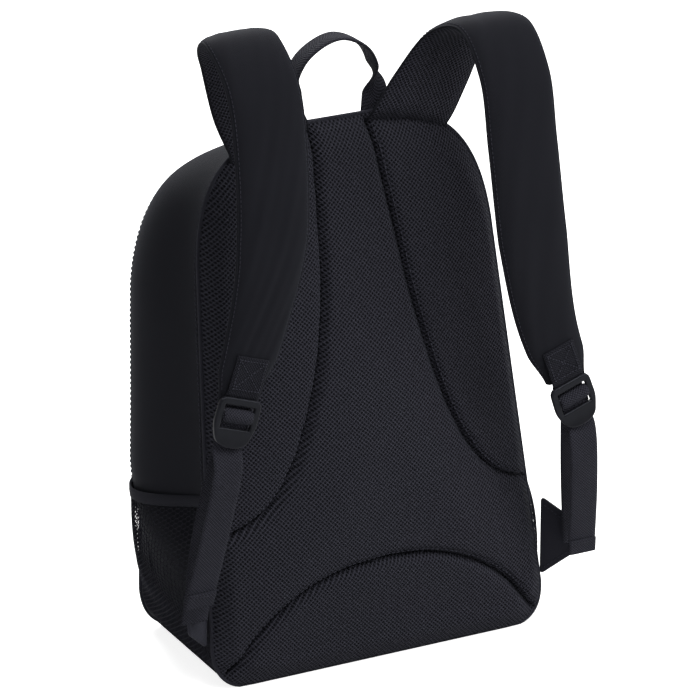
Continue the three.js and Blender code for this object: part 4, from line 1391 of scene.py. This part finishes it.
@dataclass
class Harness:
    """One shoulder strap with its patch, buckle, webbing, tail and anchor tab."""

    form: BagForm
    side: Side
    width: float = 60 * MM
    thick: float = 10 * MM
    web: float = 25 * MM
    web_thick: float = 1.7 * MM
    rise_top: tuple = (8, -12)
    rise_end: tuple = (12, -28)
    end_shift: tuple = (3, 7)
    spread: tuple = (-3, -4)
    tail_reach: tuple = (24, 10)
    tail_drop: tuple = (140, 124)
    middle: tuple = ((64, 2, 438), (82, 2, 468), (103, -12, 506), (114, -43, 521), (113, -78, 494),
                     (112, -92, 443), (115, -101, 365), (126, -99, 300), (141, -101, 250))

    @property
    def word(self) -> str:
        """The side's word in names."""
        return self.side.word

    def pick(self, pair: tuple) -> float:
        """This side's value of a left and right pair."""
        return pair[0] if self.side is Side.LEFT else pair[1]

    def knots(self) -> list[tuple[float, float, float]]:
        """The strap's middle line, in millimetres."""
        found = []
        for n, (x, y, z) in enumerate(self.middle):
            ease = min(1.0, n / 3)
            spread = self.pick(self.spread) * ease * min(1.0, (8 - n) / 3)
            lower = max(0, n - 3) / 5
            rise = self.pick(self.rise_top) * (1 - lower) + self.pick(self.rise_end) * lower
            out = x + spread + self.pick(self.end_shift) * lower
            found.append((self.side.value * out, y, z + rise * ease))
        return found

    def strap_width(self, u: np.ndarray) -> np.ndarray:
        """Width along the strap."""
        root = 0.04 * np.maximum(0, 0.2 - u)
        taper = 14 * MM * np.maximum(0, u - 0.7) / 0.3
        return self.width + root - taper - 12 * MM * smoothstep(u, 0.93, 1.0)

    def ends(self) -> tuple[np.ndarray, np.ndarray, np.ndarray]:
        """The strap's lower end, its direction there, and the way that its outer face looks."""
        knots = np.array(self.knots()) * MM
        end = knots[-1]
        down = end - knots[-2]
        down /= np.linalg.norm(down)
        front = np.array([0.0, -1.0, 0.0]) + down * down[1]
        return end, down, front / np.linalg.norm(front)

    def along(self, distance: float, out: float) -> np.ndarray:
        """A point below the strap's end and in front of it, both in millimetres."""
        end, down, front = self.ends()
        return end + down * distance * MM + front * out * MM

    def build_strap(self) -> None:
        """The padded strap: smooth cloth outside, spacer mesh inside, and a bound edge."""
        line = smooth_line([(self.side.value * 60, 9, 426), *self.knots()], 230)
        band = Ribbon(line, self.strap_width, self.thick, lambda u: np.tile([1.0, 0.0, 0.0], (len(u), 1)))
        s = np.sin(np.linspace(-math.pi / 2, math.pi / 2, 41))
        u = np.linspace(0, 1, len(line))[:, None]
        taper = smoothstep(u, 0.0, 0.05) * (1 - smoothstep(u, 0.93, 1.0)) * 0.62 + 0.38
        dome = (1 - np.abs(s) ** 3.2) ** 0.62 * 1.15
        uneven = ripple(u + s[None] * 0.3, s[None] * 0.06 + u * 0.4, 0.13, 31 + self.side.value) * 0.35 * MM
        outer = band.surface(s,  (self.thick / 2 * dome * taper + 0.6 * MM + uneven * dome))
        inner = band.surface(s, -(self.thick / 2) * dome * taper - uneven * dome)
        self.follow_seam(outer)
        self.follow_seam(inner)
        for name, points, finish in ((f"strap_{self.word}_outer", outer[:, ::-1], CLOTH),
                                     (f"strap_{self.word}_mesh", inner, SPACER)):
            rows, columns, _ = points.shape
            piece = mesh_piece(name, points.reshape(-1, 3), grid_faces(rows, columns), finish,
                               grid_lengths(points).reshape(-1, 2))
            thicken(piece, 0.8 * MM)
            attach(piece, f"strap_{self.word}")
            if finish is CLOTH:
                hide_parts(f"shoulder_strap_{self.word}")
        rim = np.vstack([outer[:, 0], outer[-1, 1:-1], outer[::-1, -1], outer[0, -2:0:-1]]) * 0.5
        rim += np.vstack([inner[:, 0], inner[-1, 1:-1], inner[::-1, -1], inner[0, -2:0:-1]]) * 0.5
        edge = cord_tube(f"strap_{self.word}_edge", resample(rim, 420), 1.15 * MM, CLOTH, closed=True)
        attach(edge, f"strap_{self.word}")
        for word, column in (("inside", 4), ("outside", 36)):
            spots = outer[6:-6, column]
            up = spots - inner[6:-6, column]
            stitch_row(f"strap_{self.word}_stitches_{word}", spots, up, f"strap_{self.word}", 3.6 * MM,
                       0.3 * MM)

    def follow_seam(self, points: np.ndarray) -> None:
        """Lets the strap's root dip with the arched seam that it is sewn into; changes the points in place."""
        seam = self.form.back_outline(720)[:361]
        order = np.argsort(seam[:, 0])
        high = seam[:, 1] > self.form.back_height / 2
        order = order[high[order]]
        arch = np.interp(np.abs(points[..., 0]), seam[order, 0], seam[order, 1])
        u = np.linspace(0, 1, len(points))[:, None]
        points[..., 2] -= (self.form.back_height - arch) * (1 - smoothstep(u, 0.0, 0.2))

    def webbing(self, name: str, points: list[np.ndarray], width: float, steps: int,
                across: np.ndarray | None = None, finish: Finish = WEBBING) -> bpy.types.Object:
        """A length of webbing.

        Args:
            name: the piece's name.
            points: what its middle passes through, in metres.
            width: in metres.
            steps: how many points along it.
            across: the direction of its width, or None for the bag's own X.
            finish: its finish.

        Returns:
            The piece.
        """
        line = smooth_line([tuple(p / MM) for p in points], steps)
        side = np.array([1.0, 0.0, 0.0]) if across is None else across
        band = Ribbon(line, lambda u: np.full(len(u), width), self.web_thick,
                      lambda u: np.tile(side, (len(u), 1)), 3)
        return band.mesh(name, finish)

    def across(self) -> np.ndarray:
        """The direction across the strap's end, square to its length."""
        _, down, _ = self.ends()
        side = np.array([1.0, 0.0, 0.0]) - down * down[0]
        return side / np.linalg.norm(side)

    def build_patch(self) -> None:
        """The webbing patch on the strap's end, with its boxed stitching, and the loop down to the buckle."""
        face = self.thick / 2 / MM
        patch = self.webbing(f"patch_{self.word}", [self.along(-34, face + 1.6), self.along(-16, face + 1.5),
                                                  self.along(-5, face + 0.9), self.along(1.5, face - 2.6)],
                             29 * MM, 30, self.across(), PATCH)
        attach(patch, f"strap_{self.word}")
        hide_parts(f"strap_patch_{self.word}")
        points = [self.along(-6, 1.2), self.along(0, 1.4), self.along(5, 1.5), self.along(9.5, 1.2),
                  self.along(12, 0.3)]
        loop = self.webbing(f"loop_{self.word}", points, self.web, 40, self.across())
        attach(loop, f"strap_{self.word}")
        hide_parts(f"buckle_loop_{self.word}")
        _, down, front = self.ends()
        across = np.cross(down, front)
        half = 11.5 * MM
        corners = [self.along(-31, face + 2.75) - across * half, self.along(-31, face + 2.75) + across * half,
                   self.along(-8, face + 2.6) + across * half, self.along(-8, face + 2.6) - across * half]
        box = np.vstack([np.linspace(a, b, 12, endpoint=False) for a,
                         b in zip(corners, corners[1:] + corners[:1])])
        cross = [np.linspace(corners[0], corners[2], 20), np.linspace(corners[1], corners[3], 20)]
        for n, line in enumerate([box, *cross]):
            out = np.tile(front, (len(line), 1))
            stitch_row(f"patch_{self.word}_stitches_{n}", line, out, f"strap_{self.word}", 2.6 * MM,
                       0.42 * MM)

    def build_buckle(self) -> None:
        """The ladder-lock buckle: a frame, a ribbed middle bar, and a lifted thumb tab."""
        _, down, front = self.ends()
        across = np.array([1.0, 0.0, 0.0]) - down * down[0]
        across /= np.linalg.norm(across)
        seat = self.along(21.5, 5)
        half = 17 * MM
        outline = rounded([(-half, 21 * MM), (half, 21 * MM), (half + 0.6 * MM, 0), (13 * MM, -12.5 * MM),
                           (6 * MM, -16 * MM),
                           (-6 * MM, -16 * MM), (-13 * MM, -12.5 * MM), (-half - 0.6 * MM, 0)], 5 * MM)
        window = 14.6 * MM
        upper = rounded([(-window, 11 * MM), (window, 11 * MM), (window, 17.6 * MM), (-window, 17.6 * MM)],
                        1.5 * MM)
        lower = rounded([(-window, -3.5 * MM), (window, -3.5 * MM), (window, 5 * MM), (-window, 5 * MM)],
                        1.5 * MM)
        plate = soft_block(f"buckle_frame_{self.word}", outline, 4.2 * MM, 1.4 * MM, PLASTIC, (upper, lower))
        for vertex in plate.data.vertices:
            rise = max(0.0, -vertex.co.y - 4 * MM) ** 2 * 9
            vertex.co.z += rise
        stand(plate, seat, across, -down)
        pieces = [plate]
        for n, y in enumerate((6.2, 7.75, 9.3)):
            rib = rounded([(-13.4 * MM, (y - 0.45) * MM), (13.4 * MM, (y - 0.45) * MM),
                           (13.4 * MM, (y + 0.45) * MM),
                           (-13.4 * MM, (y + 0.45) * MM)], 0.4 * MM, 3)
            made = soft_block(f"buckle_rib_{self.word}_{n}", rib, 5.6 * MM, 0.4 * MM, PLASTIC)
            stand(made, seat, across, -down)
            pieces.append(made)
        for piece in pieces:
            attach(piece, f"buckle_{self.word}")
        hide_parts(f"ladder_lock_buckle_{self.word}")

    def tail_points(self) -> list[np.ndarray]:
        """The free tail from inside the buckle to its hemmed end."""
        top = self.along(33, 10)
        end = top + np.array([self.side.value * self.pick(self.tail_reach), 16,
                              -self.pick(self.tail_drop)]) * MM
        half = (top + end) / 2 + np.array([0, -3, 0]) * MM
        return [top, half, end]

    def build_webbing(self) -> None:
        """The adjustable webbing: wrap through the buckle, free tail with a hem, and lower strand to the tab."""
        top, half, end = self.tail_points()
        wrap = [self.along(24, 2.6), self.along(19.6, 3.4), self.along(18.0, 6.6), self.along(13.8, 8.6),
                self.along(9.9, 6.6), self.along(8.7, 3.2), self.along(12.5, 0.8)]
        over = self.webbing(f"buckle_wrap_{self.word}", wrap, self.web + 1 * MM, 50, self.across())
        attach(over, f"buckle_{self.word}")
        start = self.along(19.5, 3.2)
        tail = self.webbing(f"tail_{self.word}",
                            [start, self.along(24, 2.4), self.along(30, 2.2), self.along(40, 3.0),
                                                top + (half - top) * 0.3, half, end], self.web, 80)
        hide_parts(f"webbing_tail_{self.word}")
        f"buckle_{self.word}"
        f"tail_{self.word}"
        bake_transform(tail)
        drop = (end - half) / np.linalg.norm(end - half)
        hem = self.webbing(f"tail_hem_{self.word}", [end - drop * 13 * MM + np.array([0, -1.5, 0]) * MM,
                                                   end + np.array([0, -1.5, 0]) * MM], self.web, 10)
        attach(hem, f"tail_{self.word}")
        row = np.linspace(-10.5, 10.5, 12)[:, None] * MM * np.array([[1.0, 0, 0]]) + end - drop * 10 * MM
        out = np.tile(np.array([0.0, -1.0, 0.0]), (12, 1))
        stitch_row(f"tail_hem_stitches_{self.word}", row + out * 2.6 * MM, out, f"tail_{self.word}", 2.4 * MM,
                   0.42 * MM)
        anchor = self.tab_tip() + np.array([-3 * self.side.value, -3, 1]) * MM
        first = self.along(23, -0.6)
        strand = self.webbing(f"lower_strand_{self.word}",
                              [first, (first + anchor) / 2 + np.array([self.side.value * 2, 5, 0]) * MM,
                               anchor], self.web - 2 * MM, 70)
        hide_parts(f"lower_webbing_{self.word}")
        f"strap_{self.word}"
        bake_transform(strand)

    def tab_tip(self) -> np.ndarray:
        """The outer edge of the anchor tab, where the webbing is sewn in."""
        return np.array([self.side.value * 176 * MM, -75 * MM, 68 * MM])

    def build_tab(self) -> None:
        """The triangular anchor tab folded round the webbing's end."""
        root = np.array([self.side.value * 153.5 * MM, self.form.back_y(70 * MM) - 2.5 * MM, 70 * MM])
        tip = self.tab_tip()
        outward = (tip - root) * np.array([1, 1, 0])
        reach = np.linalg.norm(outward)
        outward /= reach
        outline = rounded([(0, -33 * MM), (reach, -11 * MM), (reach + 2 * MM, 12 * MM), (0, 33 * MM)], 3 * MM)
        # Painted light: the tab takes the paler piping cloth to stand in for the light it misses under the
        # strap's shadow.
        tab = soft_block(f"tab_{self.word}", outline, 2.8 * MM, 1.0 * MM, PIPING)
        stand(tab, root, outward, np.array([0.0, 0.0, 1.0]))
        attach(tab, "pack")
        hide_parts(f"anchor_tab_{self.word}")
        normal = np.cross(outward, np.array([0.0, 0.0, 1.0]))
        for sign in (-1, 1):
            line = np.array([root + outward * a * reach + np.array([0, 0, b * MM]) for a,
                             b in ((0.1, 27 * sign), (0.92, 9 * sign))])
            line = np.linspace(line[0], line[1], 12) + normal * 1.5 * MM
            stitch_row(f"tab_{self.word}_stitches_{'low' if sign < 0 else 'high'}", line,
                       np.tile(normal, (12, 1)), "pack",
                       3 * MM, 0.4 * MM)

    def build(self) -> None:
        """Every piece of this side of the harness."""
        self.build_strap()
        self.build_patch()
        self.build_buckle()
        self.build_webbing()
        self.build_tab()
        LOG.info("harness %s built", self.word)


@dataclass
class HaulLoop:
    """The webbing loop at the top of the back panel, twisted flat at its feet."""

    top: float = 500 * MM

    def build(self) -> None:
        """The loop."""
        side = [(37, 17, 431), (38.5, 18, 447), (38, 17, 463), (27, 14, 487)]
        knots = [(-x, y, z) for x, y, z in side] + [(0, 12, self.top / MM)] + side[::-1]

        def twist(u: np.ndarray) -> np.ndarray:
            """Width direction: across the bag at the feet, fore and aft over the arch."""
            turn = smoothstep(np.minimum(u, 1 - u), 0.08, 0.24) * math.pi / 2
            sign = np.where(u < 0.5, -1.0, 1.0)
            return np.stack([np.cos(turn) * sign, np.sin(turn), np.zeros_like(u)], axis=1)

        band = Ribbon(smooth_line(knots, 140), lambda u: 23 * MM - 2 * MM * np.sin(math.pi * u), 3.0 * MM,
                      twist, 4)
        loop = band.mesh("haul_webbing", WEBBING)
        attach(loop, "haul_loop")
        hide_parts("haul_loop")


def build_sleeve(form: BagForm) -> None:
    """The laptop sleeve inside the main compartment."""
    low, high = (np.array(c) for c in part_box("laptop_sleeve"))
    x = np.linspace(low[0], high[0], 40)
    z = np.linspace(low[2], high[2], 40)
    grid = np.zeros((40, 40, 3))
    for r, height in enumerate(z):
        y = form.back_lean * height - 42 * MM + ripple(x, np.full(40, height), 0.1, 2) * 0.6 * MM
        grid[r] = np.stack([x, y, np.full(40, height)], axis=1)
    cloth_sheet("sleeve_cloth", grid, LINING, 3 * MM, "pack", ("laptop_sleeve",),
                (high[0] - low[0], (high[2] - low[2]) * math.hypot(1.0, form.back_lean)))


# Stage ---------------------------------------------------------------------------------------------


@dataclass
class Studio:
    """Floor, soft lights, bright surroundings and the camera."""

    azimuth: float = -28.1
    elevation: float = 21.2
    distance: float = 4.0
    lens: float = 257.14
    target: tuple = (5.6 * MM, -2.8 * MM, 240.4 * MM)
    surround: float = 0.10
    floor_glow: float = 0.82

    def axes(self) -> tuple[Vector, Vector, Vector]:
        """Towards the camera, to its right, and up."""
        a = math.radians(self.azimuth)
        e = math.radians(self.elevation)
        back = Vector((math.sin(a) * math.cos(e), -math.cos(a) * math.cos(e), math.sin(e)))
        right = Vector((math.cos(a), math.sin(a), 0))
        return back, right, back.cross(right)

    def build_camera(self) -> None:
        """The camera, a little above the bag and to its left."""
        back, _, _ = self.axes()
        data = bpy.data.cameras.new("camera")
        data.lens = self.lens
        data.sensor_width = 36
        data.clip_end = 50
        camera = bpy.data.objects.new("camera", data)
        camera.location = Vector(self.target) + back * self.distance
        camera.rotation_euler = back.to_track_quat("Z", "Y").to_euler()
        bpy.context.scene.collection.objects.link(camera)
        bpy.context.scene.camera = camera

    def build_light(self, name: str, where: tuple[float, float, float], size: float, power: float) -> None:
        """A square soft light, placed in the camera's own directions and aimed at the bag."""
        back, right, _ = self.axes()
        data = bpy.data.lights.new(name, "AREA")
        data.size = size
        data.energy = power
        lamp = bpy.data.objects.new(name, data)
        place = right * where[0] + back * where[1] + Vector((0, 0, where[2]))
        lamp.location = Vector(self.target) + place
        lamp.rotation_euler = place.to_track_quat("Z", "Y").to_euler()
        bpy.context.scene.collection.objects.link(lamp)

    def build_floor(self) -> None:
        """A plain pale floor."""
        reach = 6.0
        mesh = bpy.data.meshes.new("floor")
        mesh.from_pydata([(-reach, -reach, 0), (reach, -reach, 0), (reach, reach, 0), (-reach, reach, 0)], [],
                         [(0, 1, 2, 3)])
        floor = bpy.data.objects.new("floor", mesh)
        material = bpy.data.materials.new("pale_floor")
        material.use_nodes = True
        shader = material.node_tree.nodes["Principled BSDF"]
        shader.inputs["Base Color"].default_value = (0.8, 0.8, 0.8, 1)
        shader.inputs["Roughness"].default_value = 0.9
        shader.inputs["Emission Color"].default_value = (1, 1, 1, 1)
        sketch = NodeSketch(material.node_tree)
        path = sketch.node("ShaderNodeLightPath")
        glow = sketch.math("MULTIPLY", path.outputs["Is Camera Ray"], self.floor_glow)
        sketch.join(glow, shader.inputs["Emission Strength"])
        mesh.materials.append(material)
        bpy.context.scene.collection.objects.link(floor)

    def build_world(self) -> None:
        """White surroundings."""
        world = bpy.data.worlds.new("studio")
        world.use_nodes = True
        background = world.node_tree.nodes["Background"]
        background.inputs["Color"].default_value = (1, 1, 1, 1)
        sketch = NodeSketch(world.node_tree)
        path = sketch.node("ShaderNodeLightPath")
        bright = 1.0 - self.surround
        strength = sketch.math("MULTIPLY_ADD", path.outputs["Is Camera Ray"], bright, self.surround)
        sketch.join(strength, background.inputs["Strength"])
        bpy.context.scene.world = world

    def build(self) -> None:
        """The whole stage."""
        bpy.context.scene.view_settings.view_transform = "Standard"
        self.build_camera()
        self.build_world()
        self.build_floor()
        self.build_light("key", (0.9, 1.0, 2.2), 1.4, 46)
        self.build_light("front", (0.9, 2.0, 1.3), 1.6, 16)
        self.build_light("side", (2.0, 0.3, 0.9), 1.0, 20)
        self.build_light("fill", (-1.8, 0.9, 0.6), 1.6, 6)
        self.build_light("rim", (-0.4, -1.3, 1.7), 1.2, 34)


def main() -> None:
    """Builds the bag piece by piece, then its stage."""
    logging.basicConfig(level=logging.INFO, format="%(name)s: %(message)s")
    Studio().build()
    shell = Shell(FORM)
    shell.build()
    LOG.info("shell built")
    BackPads(FORM).build()
    MainZip(shell).build()
    LOG.info("main zip built")
    FrontPocket(FORM).build()
    LOG.info("front pocket built")
    for side in Side:
        SidePocket(FORM, side).build()
        Harness(FORM, side).build()
    HaulLoop().build()
    build_sleeve(FORM)


if __name__ == "__main__":
    main()
